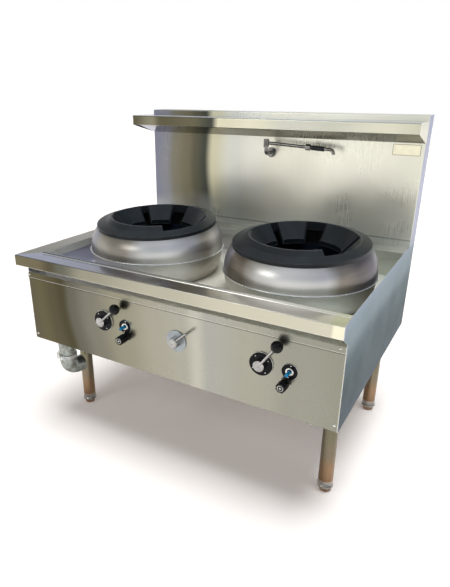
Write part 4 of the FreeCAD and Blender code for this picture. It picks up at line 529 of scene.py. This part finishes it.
def spun(name, axis, painted_reflections, roughness, metallic=0.85):
    """A spun shell's finish, with a painted reflection given as (degrees round from the front, colour)."""
    finish = Finish(name, metallic=metallic)
    to_axis = (-axis[0], -axis[1], 0.0)
    centred = finish.node("ShaderNodeMapping", {"Vector": finish.place, "Location": to_axis}).outputs[0]
    parts = finish.node("ShaderNodeSeparateXYZ", {0: centred})
    level = finish.node("ShaderNodeVectorMath", {0: centred, 1: (1.0, 1.0, 0.0)}, operation="MULTIPLY")
    radius = finish.node("ShaderNodeVectorMath", {0: level.outputs[0]}, operation="LENGTH").outputs["Value"]
    rings_place = finish.node("ShaderNodeCombineXYZ", {0: radius, 2: parts.outputs[2]}).outputs[0]
    rings = finish.noise(420.0, detail=2.0, place=rings_place)
    cloud = finish.noise(5.0, detail=2.0)
    front_on = finish.maths("MULTIPLY", parts.outputs[1], -1.0)
    angle = finish.maths("ARCTAN2", parts.outputs[0], front_on)
    angle = finish.maths("ADD", angle, finish.span(cloud, 0.3, 0.7, -0.08, 0.08))
    stops = [((degrees + 180) / 360, code) for degrees, code in painted_reflections]
    tone = finish.ramp(finish.span(angle, -math.pi, math.pi, soft=False), stops)
    tone = finish.mix(finish.span(rings, 0.45, 0.75, 0.0, 0.05), tone, shade("ffffff"))
    rough = finish.maths("ADD", finish.span(rings, 0.3, 0.7, roughness - 0.02, roughness + 0.03),
                         finish.span(cloud, 0.35, 0.7, -0.02, 0.04))
    height = parts.outputs[2]
    low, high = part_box(name.replace("spun_", "chamber_"))
    rise = high.z - low.z
    # Painted shadow: the upper part of a dome, towards the ring, is darkened.
    if "dome" in name:
        under_ring_painted_shade = finish.span(height, high.z - 0.40 * rise, high.z, 0.0, 0.95)
        tone = finish.mix(under_ring_painted_shade, tone, finish.mix(1.0, tone, shade("7c7c80"), blend="MULTIPLY"))
    metal = finish.span(height, low.z, low.z + 0.35 * rise, metallic - 0.35, metallic)
    return finish.finish(tone, rough, finish.bump(rings, 0.000008, 0.5), metal)


# Painted reflections, as (degrees round from the front, colour).
DOME_PAINTED_REFLECTIONS = {
    "left": ((-180, "a8a7a3"), (-54, "7d7b82"), (-38, "8e8e98"), (-12, "a8a49a"), (4, "8c867c"),
             (22, "d0d0ce"), (44, "dcdcda"), (64, "c6c6c2"), (80, "b8b2a8"), (96, "dad8d6"),
             (112, "a8a6ac"), (180, "a8a7a3")),
    "right": ((-180, "a8a7a3"), (-72, "7d7b82"), (-52, "9c9aa4"), (-40, "6f675c"), (-26, "776e62"),
              (-10, "c8c7c3"), (8, "e0dfdc"), (36, "d2d1cf"), (52, "918a7f"), (70, "6d6868"), (88, "5f5d66"),
              (104, "85848c"), (180, "a8a7a3")),
}
BOWL_PAINTED_REFLECTIONS = ((-180, "c4c4c0"), (-35, "b8b4ac"), (10, "dcdedc"), (50, "d8dad8"), (80, "b4aea4"),
              (180, "c4c4c0"))
for side_name in ("left", "right"):
    axis = chamber_axis("chamber_bowl_" + side_name)
    wear(["chamber_dome_" + side_name], spun("spun_dome_" + side_name, axis, DOME_PAINTED_REFLECTIONS[side_name], 0.33))
    bowl = spun("spun_bowl_" + side_name, axis, BOWL_PAINTED_REFLECTIONS, 0.36, metallic=0.45)
    wear(["chamber_bowl_" + side_name], bowl)

# %% [markdown]
# ## Cast rings
# The rings are sand-cast iron under a black heat-proof coat. Casting leaves a fine orange-peel surface
# with a few pits, and woks rub the coat grey along the edges of the pads. Two bumps of different size
# make the surface, and the Bevel node finds the edges for the wear.

# %% Cast iron
iron = Finish("coated_cast_iron", metallic=0.0, roughness=0.45)
iron.shader.inputs["Specular IOR Level"].default_value = 0.42
sand = iron.noise(900.0, detail=3.0)
lumps = iron.noise(70.0, detail=2.0)
iron_tone = iron.mix(iron.span(iron.noise(14.0, detail=4.0), 0.35, 0.7), shade("0b1116"), shade("141c22"))
handled = iron.span(iron.noise(30.0, detail=3.0), 0.35, 0.6, 0.35, 0.9)
rubbed = iron.maths("MULTIPLY", iron.edges(0.0030), handled)
iron_tone = iron.mix(rubbed, iron_tone, shade("5a6064"))
iron_rough = iron.span(sand, 0.3, 0.7, 0.38, 0.52)
iron_normal = iron.bump(lumps, 0.0003, 0.5, over=iron.bump(sand, 0.00012, 0.7))
wear(["wok_ring_left", "wok_ring_right"], iron.finish(iron_tone, iron_rough, iron_normal))

# %% [markdown]
# ## Inside the chambers
# The liner is fired clay, blackened by flame, and the burner is bare cast iron with heat scale.

# %% Liners and burners
clay = Finish("sooted_clay", metallic=0.0, roughness=0.95)
clay.shader.inputs["Specular IOR Level"].default_value = 0.1
# The liner is a little paler towards the top.
paler_higher = clay.span(clay.part_of(clay.place, "Z"), 0.62, 0.76)
clay_tone = clay.mix(clay.span(clay.noise(40.0, detail=5.0), 0.3, 0.7), shade("04070f"), shade("0a0e18"))
clay_tone = clay.mix(clay.maths("MULTIPLY", paler_higher, 0.4), clay_tone, shade("10141e"))
wear(["chamber_liners"], clay.finish(clay_tone, 0.95, clay.bump(clay.noise(260.0, detail=4.0), 0.0006, 0.7)))

scaled = Finish("scaled_iron", metallic=0.7, roughness=0.6)
scale = scaled.span(scaled.noise(60.0, detail=5.0), 0.4, 0.65)
scaled_tone = scaled.mix(scale, shade("1b1b1e"), shade("4a3a31"))
scaled_rough = scaled.span(scaled.noise(90.0), 0.3, 0.7, 0.5, 0.75)
scaled_normal = scaled.bump(scaled.noise(400.0, detail=4.0), 0.0003, 0.7)
wear(["burner_left", "burner_right"], scaled.finish(scaled_tone, scaled_rough, scaled_normal))

# %% [markdown]
# ## Polished fittings
# Levers, hubs, screws and the water spout are turned and plated, so they are nearly mirrors. A plated
# part is never quite clean: a faint noise in the roughness stands for finger marks and water spots.

# %% Plated and polished
def plated(name, low, high, roughness, spots=0.10, underside=0.0):
    """Plating with a painted reflection of the dark ground on faces that look down, by the share underside,
    and a painted highlight on its edges.
    """
    finish = Finish(name, roughness=roughness)
    film = finish.noise(55.0, detail=4.0)
    tone = finish.mix(finish.span(film, 0.3, 0.7), shade(low), shade(high))
    # Painted reflection of the dark ground on faces that look down.
    ground_reflection_painted = finish.span(finish.part_of(finish.facing, "Z"), 0.25, -0.55, 0.0, underside)
    tone = finish.mix(ground_reflection_painted, tone, shade("3b3a37"))
    # Painted highlight: edges mixed towards white.
    tone = finish.mix(finish.maths("MULTIPLY", finish.edges(0.0009), 0.35), tone, shade("ffffff"))
    rough = finish.span(film, 0.45, 0.75, roughness, roughness + spots)
    return finish.finish(tone, rough, finish.bump(finish.noise(500.0), 0.00002, 0.4))


# underside is the share of painted dark ground on faces that look down.
chrome = plated("chrome_plate", "a9a9a6", "c4c4c2", 0.08, underside=0.85)
wear(["gas_lever_left", "gas_lever_right", "water_lever"], chrome)
collar_plate = plated("collar_plate", "8f8d88", "b3b0aa", 0.24, underside=0.6)
wear(["leg_collars"], collar_plate)
spout_chrome = plated("spout_plate", "5b5b58", "8f8f8b", 0.12)
wear(["spout_flange", "spout_riser", "spout_arm", "spout_nut", "spout_outlet"], spout_chrome)
zinc_screw = plated("screw_steel", "cbcbc5", "eeeee8", 0.20, underside=0.7)
wear(["panel_screws", "drain_strainer", "drain_coupling"], zinc_screw)
valve_plate = plated("pressed_steel_plate", "8d9498", "a1a8ac", 0.30)
wear(["water_valve_plate"], valve_plate)

bare = Finish("bare_plate", metallic=0.85, roughness=0.35)
PLATE_BORDER = 0.0022
plate_low, plate_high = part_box("blank_plate")
inside = bare.span(bare.noise(60.0, detail=3.0), 0.3, 0.7, 0.9, 1.0)
for axis_name, low, high in (("X", plate_low.x, plate_high.x), ("Z", plate_low.z, plate_high.z)):
    along = bare.part_of(bare.place, axis_name)
    inside = bare.maths("MULTIPLY", inside, bare.span(along, low + 0.5 * PLATE_BORDER, low + PLATE_BORDER))
    inside = bare.maths("MULTIPLY", inside, bare.span(along, high - 0.5 * PLATE_BORDER, high - PLATE_BORDER))
wear(["blank_plate"], bare.finish(bare.mix(inside, shade("8f8566"), shade("fffbe0"))))

# %% [markdown]
# ## Moulded plastics
# The lever balls are glossy phenolic, the knobs and round plates a duller moulding, and the igniter
# stems a clear blue. Moulded black is not flat: it has a fine texture and lighter, handled edges.

# %% Plastics
def moulded(name, low, high, roughness, grain=0.00003, worn="4a4c4e", gloss=0.3):
    finish = Finish(name, metallic=0.0, roughness=roughness)
    finish.shader.inputs["Specular IOR Level"].default_value = gloss
    cloud = finish.noise(45.0, detail=3.0)
    tone = finish.mix(finish.span(cloud, 0.3, 0.7), shade(low), shade(high))
    tone = finish.mix(finish.maths("MULTIPLY", finish.edges(0.0008), 0.4), tone, shade(worn))
    rough = finish.span(cloud, 0.3, 0.7, roughness - 0.04, roughness + 0.06)
    return finish.finish(tone, rough, finish.bump(finish.noise(1400.0, detail=2.0), grain, 0.5))


ball_black = moulded("ball_black", "020204", "050508", 0.07, grain=0.000005, gloss=0.22)
wear(["lever_ball_left", "lever_ball_right"], ball_black)
plate_black = moulded("plate_black", "030409", "070810", 0.22, gloss=0.14)
wear(["lever_plates", "igniter_plates"], plate_black)
knob_black = moulded("knob_black", "040508", "0b0c10", 0.30, gloss=0.22)
wear(["pilot_knob_left", "pilot_knob_right", "igniter_bodies"], knob_black)
grip_black = moulded("grip_black", "1f2226", "2c3036", 0.40)
wear(["spout_grip"], grip_black)
stem_blue = moulded("stem_blue", "0d74a8", "1390c8", 0.25, worn="4fb4dc")
wear(["igniter_button_left", "igniter_button_right"], stem_blue)

# %% [markdown]
# ## Legs, frame and pipework
# The legs are polished tube, with the ground's reflection painted along their height in brown and olive. The
# frame and rails are plain steel under the sheet. The waste pipe is galvanised: zinc freezes in flat
# crystals, and a Voronoi pattern gives each crystal its own tone.

# %% Tube, frame and zinc
tube = Finish("leg_tube_steel")
tube_height = tube.part_of(tube.place, "Z")
# Painted reflection of the ground, by height.
tube_painted_reflection = ((0.0, "8a6f57"), (0.15, "93795f"), (0.35, "7e7563"), (0.6, "74705d"), (1.0, "5d5845"))
tube_tone = tube.ramp(tube.span(tube_height, 0.04, 0.38, soft=False), tube_painted_reflection)
wear(["leg_tubes"], brushed(tube, tube_tone, "Z", roughness=0.26, contrast=0.14))

foot_steel = Finish("foot_steel", roughness=0.4)
foot_cloud = foot_steel.span(foot_steel.noise(80.0, detail=4.0), 0.4, 0.6)
foot_tone = foot_steel.mix(foot_cloud, shade("8b6f5a"), shade("a08672"))
wear(["foot_front_left", "foot_front_right", "foot_rear_left", "foot_rear_right"],
     foot_steel.finish(foot_tone, 0.4, foot_steel.bump(foot_steel.noise(300.0), 0.00008, 0.5)))

plain_steel = Finish("frame_steel", roughness=0.45)
frame_cloud = plain_steel.span(plain_steel.noise(18.0, detail=5.0), 0.35, 0.65)
frame_tone = plain_steel.mix(frame_cloud, shade("6d6e6e"), shade("8b8b88"))
wear(["body_frame", "chamber_rails"],
     plain_steel.finish(frame_tone, plain_steel.span(plain_steel.noise(30.0), 0.3, 0.7, 0.38, 0.55),
                        plain_steel.bump(plain_steel.noise(200.0, detail=3.0), 0.00015, 0.5)))

zinc = Finish("galvanised", roughness=0.4)
crystals = zinc.node("ShaderNodeTexVoronoi", {"Vector": zinc.place, "Scale": 130.0})
crystal_value = zinc.part_of(crystals.outputs["Color"], "X")
zinc_tone = zinc.mix(crystal_value, shade("80867f"), shade("a9aeaa"))
zinc_stain = zinc.span(zinc.noise(24.0, detail=5.0), 0.55, 0.7, 0.0, 0.6)
zinc_tone = zinc.mix(zinc_stain, zinc_tone, shade("6b6a5f"))
zinc_rough = zinc.span(crystal_value, 0.0, 1.0, 0.30, 0.50, soft=False)
wear(["drain_pipe", "drain_elbow", "gas_manifold", "burner_pipes"],
     zinc.finish(zinc_tone, zinc_rough, zinc.bump(crystal_value, 0.00008, 0.6)))

brass = plated("turned_brass", "a8863f", "c9a862", 0.26)
wear(["gas_valves", "pilot_valves", "water_valve", "water_pipe", "pilot_burners"], brass)

# %% [markdown]
# ## Lathe-turned trims
# Several small parts are bodies of revolution: the bright rims and washers of the black plates, the faces
# of the lever hubs, the rings on the knobs, and the beads at the chambers' seams and on the drain coupling.
# One helper turns a closed outline about any axis.
# The faces share their points all the way round, so there is no seam to close afterwards.

# %% The lathe helper
def add_piece(name, mesh, material, body):
    """Links a finished mesh as a piece that rides on a body."""
    mesh.materials.clear()
    mesh.materials.append(material)
    mesh.polygons.foreach_set("use_smooth", [True] * len(mesh.polygons))
    made = bpy.data.objects.new(name, mesh)
    bpy.context.scene.collection.objects.link(made)
    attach(made, body)


def lathe(outline, steps, place=(0, 0, 0), axis=(0, 0, 1)):
    """Points and faces of a closed outline of (radius, height) turned about an axis through place."""
    turn = Vector((0, 0, 1)).rotation_difference(Vector(axis)).to_matrix()
    points = []
    for step in range(steps):
        angle = 2 * math.pi * step / steps
        for radius, height in outline:
            point = turn @ Vector((radius * math.cos(angle), radius * math.sin(angle), height))
            points.append(point + Vector(place))
    count = len(outline)
    faces = []
    for step in range(steps):
        following = (step + 1) % steps
        for index in range(count):
            after = (index + 1) % count
            faces.append((step * count + index, following * count + index,
                          following * count + after, step * count + after))
    return points, faces


def wire_outline(radius, wire, sides=10):
    """The round outline of a wire bent into a ring."""
    turns = [2 * math.pi * side / sides for side in range(sides)]
    return [(radius + wire * math.cos(turn), wire * math.sin(turn)) for turn in turns]


def mesh_of(name, parts):
    """One mesh from several lists of points and faces."""
    points = []
    faces = []
    for part_points, part_faces in parts:
        start = len(points)
        points += part_points
        faces += [tuple(start + index for index in face) for face in part_faces]
    mesh = bpy.data.meshes.new(name)
    mesh.from_pydata(points, [], faces)
    mesh.validate()
    return mesh


# %% [markdown]
# ### Rims, knob rings and seam beads
# Places come from the frame: a lever or knob turns about its joint, and an igniter plate's middle is the
# middle of its button.

# %% Rims and beads
FRONT_AXIS = (0, -1, 0)
panel_y = front_low.y
LEVER_PLATE = (0.0360, 0.0080)
IGNITER_PLATE = (0.0242, 0.0030)
IGNITER_WASHER = ((0.0054, 0.0), (0.0130, 0.0), (0.0132, 0.0006), (0.0112, 0.0026), (0.0054, 0.0027))
RIM_GAP = 0.0002
LEVER_RIM_WIRE = 0.0012
IGNITER_RIM_WIRE = 0.0008
HUB_RADIUS = 0.0175
HUB_STEP = 0.80
HUB_WIRE = 0.0007
DIMPLE = ((0.0, 0.0), (0.0030, 0.0), (0.0026, 0.0006), (0.0, 0.0008))
TRIM_SINK = 0.0001
SEAM_WIRE = 0.0020
COUPLING_WIRE = 0.0013
BEAD_SINK = 0.0004
KNOB_RING = (0.0085, 0.0009)
KNOB_RING_SINK = 0.0002
KNOB_CAP = ((0.0, 0.0), (0.0035, 0.0), (0.0035, 0.0006), (0.0, 0.0008))


def joint_place(name):
    return Vector(joints[name]["pos_m"])


def button_place(side_name):
    low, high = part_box("igniter_button_" + side_name)
    return Vector(((low.x + high.x) / 2, 0, (low.z + high.z) / 2))


HUB_PROUD = {"gas_lever_left": 0.024, "gas_lever_right": 0.024, "water_lever": 0.027}

rims = []
for side_name in ("left", "right"):
    lever = joint_place(f"gas_lever_{side_name}_turn")
    button = button_place(side_name)
    lever_rim = lathe(wire_outline(LEVER_PLATE[0] + RIM_GAP, LEVER_RIM_WIRE), 72,
                      (lever.x, panel_y - LEVER_RIM_WIRE, lever.z), FRONT_AXIS)
    button_rim = lathe(wire_outline(IGNITER_PLATE[0] + RIM_GAP, IGNITER_RIM_WIRE), 60,
                       (button.x, panel_y - IGNITER_RIM_WIRE, button.z), FRONT_AXIS)
    washer = lathe(IGNITER_WASHER, 48, (button.x, panel_y - IGNITER_PLATE[1], button.z), FRONT_AXIS)
    rims += [lever_rim, button_rim, washer]
add_piece("plate_rims", mesh_of("plate_rims", rims), zinc_screw, "root")

chamber_beads = []
for side_name in ("left", "right"):
    axis = chamber_axis("chamber_bowl_" + side_name)
    dome_low, dome_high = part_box("chamber_dome_" + side_name)
    seam_radius = (dome_high.x - dome_low.x) / 2
    seam_outline = wire_outline(seam_radius - BEAD_SINK, SEAM_WIRE)
    chamber_beads.append(lathe(seam_outline, 144, (axis[0], axis[1], dome_low.z)))
drain_low, drain_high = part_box("drain_coupling")
drain_middle = (drain_low + drain_high) / 2
for height in (drain_low.z + COUPLING_WIRE, drain_middle.z, drain_high.z - COUPLING_WIRE):
    outline = wire_outline((drain_high.x - drain_low.x) / 2 - BEAD_SINK, COUPLING_WIRE)
    chamber_beads.append(lathe(outline, 72, (drain_middle.x, drain_middle.y, height)))
seam_steel = plated("seam_bead_steel", "e2e6e6", "f6f8f8", 0.22, underside=0.5)
add_piece("chamber_beads", mesh_of("chamber_beads", chamber_beads), seam_steel, "root")

for name in ("gas_lever_left", "gas_lever_right", "water_lever"):
    hub = joint_place(name + "_turn")
    face_y = panel_y - HUB_PROUD[name]
    step_ring = lathe(wire_outline(HUB_RADIUS * HUB_STEP, HUB_WIRE), 48, (hub.x, face_y, hub.z), FRONT_AXIS)
    dimple = lathe(DIMPLE, 24, (hub.x, face_y + TRIM_SINK, hub.z), FRONT_AXIS)
    add_piece(name + "_face", mesh_of(name + "_face", [step_ring, dimple]), chrome, name)

for side_name in ("left", "right"):
    knob = joint_place(f"pilot_knob_{side_name}_turn")
    knob_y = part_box("pilot_knob_" + side_name)[0].y
    ring = lathe(wire_outline(*KNOB_RING), 40, (knob.x, knob_y + KNOB_RING_SINK, knob.z), FRONT_AXIS)
    cap = lathe(KNOB_CAP, 24, (knob.x, knob_y + TRIM_SINK, knob.z), FRONT_AXIS)
    add_piece("knob_ring_" + side_name, mesh_of("knob_ring_" + side_name, [ring, cap]), zinc_screw,
              "pilot_knob_" + side_name)

print("rims and rings made")

# %% [markdown]
# ## Geometry Nodes for what repeats
# Screws and weld ripples are one small shape many times over. A node tree takes a handful of
# points, puts a domed head on each, and ends in Realize Instances, so that the result is a plain mesh.
# The head's size and number of sides are inputs of the tree, set by the socket's identifier.

# %% The tree that puts a head on every point
class Growth(Graph):
    """A Geometry Nodes tree, with a geometry in and out, a material, and named inputs of its own."""

    def __init__(self, name, inputs):
        self.tree = bpy.data.node_groups.new(name, "GeometryNodeTree")
        for way in ("INPUT", "OUTPUT"):
            self.tree.interface.new_socket("Geometry", in_out=way, socket_type="NodeSocketGeometry")
        for label, kind in {**inputs, "Material": "Material"}.items():
            self.tree.interface.new_socket(label, in_out="INPUT", socket_type="NodeSocket" + kind)
        self.start = self.node("NodeGroupInput").outputs

    def end(self, geometry):
        """Gives the geometry its material and hands it out."""
        coat = self.node("GeometryNodeSetMaterial",
                         {"Geometry": geometry, "Material": self.start["Material"]})
        self.node("NodeGroupOutput", {0: coat.outputs["Geometry"]})
        return self.tree


def head_tree():
    """Domed heads on a mesh's points, each turned to the point's own attribute, outward."""
    growth = Growth("heads_on_points", {"Head radius": "Float", "Head height": "Float", "Sides": "Int",
                                        "Spread": "Float"})
    start = growth.start
    ball = growth.node("GeometryNodeMeshUVSphere", {"Segments": start["Sides"], "Rings": 8, "Radius": 1.0})
    size = growth.node("ShaderNodeCombineXYZ", {0: start["Head radius"], 1: start["Head radius"],
                                                2: start["Head height"]})
    flat = growth.node("GeometryNodeTransform", {"Geometry": ball.outputs["Mesh"], "Scale": size.outputs[0]})
    outward = growth.node("GeometryNodeInputNamedAttribute", {"Name": "outward"}, data_type="FLOAT_VECTOR")
    turn = growth.node("FunctionNodeAlignRotationToVector", {"Vector": outward.outputs["Attribute"]},
                       axis="Z")
    smallest = growth.maths("SUBTRACT", 1.0, start["Spread"])
    largest = growth.maths("ADD", 1.0, start["Spread"])
    random = growth.node("FunctionNodeRandomValue", {2: smallest, 3: largest, "Seed": 4}, data_type="FLOAT")
    place = growth.node("GeometryNodeInstanceOnPoints",
                        {"Points": start["Geometry"], "Instance": flat.outputs["Geometry"],
                         "Rotation": turn.outputs["Rotation"], "Scale": random.outputs[1]})
    solid = growth.node("GeometryNodeRealizeInstances", {"Geometry": place.outputs["Instances"]})
    return growth.end(solid.outputs["Geometry"])


HEADS = head_tree()
print("tree", HEADS.name, len(HEADS.nodes), "nodes")

# %% [markdown]
# The tree's result is read back as a plain mesh, because the piece must be one by the time it rides on a
# body. The little carrier object with the modifier is then thrown away.

# %% Baking a tree to a piece
def grown(name, mesh, tree, inputs):
    """The mesh that a node tree makes from a carrier mesh."""
    carrier = bpy.data.objects.new(name + "_carrier", mesh)
    bpy.context.scene.collection.objects.link(carrier)
    modifier = carrier.modifiers.new("grow", "NODES")
    modifier.node_group = tree
    identifiers = {socket.name: socket.identifier for socket in tree.interface.items_tree
                   if socket.item_type == "SOCKET" and socket.in_out == "INPUT"}
    for label, value in inputs.items():
        modifier[identifiers[label]] = value
    bpy.context.view_layer.update()
    graph = bpy.context.evaluated_depsgraph_get()
    result = bpy.data.meshes.new_from_object(carrier.evaluated_get(graph))
    result.name = name
    bpy.data.objects.remove(carrier)
    return result


def point_mesh(name, places, outward):
    """Bare points with the direction that each one's head looks in."""
    mesh = bpy.data.meshes.new(name)
    mesh.from_pydata([tuple(place) for place in places], [], [])
    attribute = mesh.attributes.new("outward", "FLOAT_VECTOR", "POINT")
    for index, way in enumerate(outward):
        attribute.data[index].vector = way
    return mesh


def heads(name, places, outward, radius, height, material, body, slot, sides=16, spread=0.0):
    carrier = point_mesh(name, places, outward)
    settings = {"Head radius": radius, "Head height": height, "Sides": sides, "Spread": spread,
                "Material": material}
    mesh = grown(name, carrier, HEADS, settings)
    print(name, len(places), "heads", len(mesh.polygons), "faces")
    add_piece(name, mesh, material, body)


# %% [markdown]
# ### Plate screws
# Four small screws hold each lever plate, and two each igniter plate.

# %% Plate screws
SCREW_REACH = 0.80
SCREW_HEAD = (0.0021, 0.0011)


def screws_round(middle, plate, turns):
    """Screw places on a round plate of (radius, thickness), at these degrees."""
    reach = plate[0] * SCREW_REACH
    return [(middle.x + reach * math.cos(math.radians(turn)), panel_y - plate[1],
             middle.z + reach * math.sin(math.radians(turn))) for turn in turns]


screw_places = []
for side_name in ("left", "right"):
    lever = joint_place(f"gas_lever_{side_name}_turn")
    screw_places += screws_round(lever, LEVER_PLATE, (35, 125, 215, 305))
    screw_places += screws_round(button_place(side_name), IGNITER_PLATE, (80, 260))
heads("plate_screws", screw_places, [FRONT_AXIS] * len(screw_places), *SCREW_HEAD, zinc_screw, "root",
      "polished_steel")

# %% [markdown]
# ### Weld ripples
# A hand-made weld is a row of overlapping puddles. The same heads, slightly random in size and set close
# together round the top of a leg, read as one.

# %% Welds round the legs
def circle(centre, radius, gap):
    count = round(2 * math.pi * radius / gap)
    turns = [2 * math.pi * step / count for step in range(count)]
    return [(centre[0] + radius * math.cos(turn), centre[1] + radius * math.sin(turn), centre[2])
            for turn in turns]


weld_steel = plated("weld_bead_steel", "8d8a80", "b5b0a2", 0.35)
leg_welds = []
LEG_RADIUS = 0.025
WELD_SINK = 0.0008
WELD_GAP = 0.0026
WELD_HEAD = (0.0021, 0.0017)
leg_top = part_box("leg_tubes")[1].z
for corner in ("front_left", "front_right", "rear_left", "rear_right"):
    foot_low, foot_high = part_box("foot_" + corner)
    centre = ((foot_low.x + foot_high.x) / 2, (foot_low.y + foot_high.y) / 2, leg_top - WELD_SINK)
    leg_welds += circle(centre, LEG_RADIUS + WELD_SINK, WELD_GAP)
heads("leg_welds", leg_welds, [(0, 0, 1)] * len(leg_welds), *WELD_HEAD, weld_steel, "root", "frame_steel",
      sides=8, spread=0.2)

# %% [markdown]
# ### Inlet threads
# The gas and water inlets end in pipe threads. A real one is cut on a lathe as one long helix, so here a
# spiral curve carries a small round profile. Radius, turns and length are inputs of the tree.

# %% Threads on the inlets
THREAD_WIRE = 0.0005
THREAD_PITCH = 0.0023
THREAD_LENGTH = 0.020
INLET_END = (0.400, 0.347)
INLETS = {"gas_inlet_thread": (-0.0400, 0.0168), "water_inlet_thread": (0.0205, 0.0103)}


def thread_tree():
    """One helix of wire, standing on the origin."""
    growth = Growth("thread_helix", {"Thread radius": "Float", "Turns": "Float", "Length": "Float"})
    radius = growth.start["Thread radius"]
    helix = growth.node("GeometryNodeCurveSpiral",
                        {"Resolution": 36, "Rotations": growth.start["Turns"], "Start Radius": radius,
                         "End Radius": radius, "Height": growth.start["Length"]})
    profile = growth.node("GeometryNodeCurvePrimitiveCircle", {"Resolution": 6, "Radius": THREAD_WIRE})
    sweep = growth.node("GeometryNodeCurveToMesh", {"Curve": helix.outputs[0], "Fill Caps": True,
                                                    "Profile Curve": profile.outputs[0]})
    return growth.end(sweep.outputs[0])


THREADS = thread_tree()
for thread_name, (across, radius) in INLETS.items():
    place = Vector((across, INLET_END[0], INLET_END[1]))
    settings = {"Thread radius": radius, "Turns": THREAD_LENGTH / THREAD_PITCH, "Length": THREAD_LENGTH,
                "Material": zinc_screw}
    thread = grown(thread_name, point_mesh(thread_name, [(0, 0, 0)], [(0, 0, 1)]), THREADS, settings)
    thread.transform(Matrix.Translation(place))
    add_piece(thread_name, thread, zinc_screw, "root")
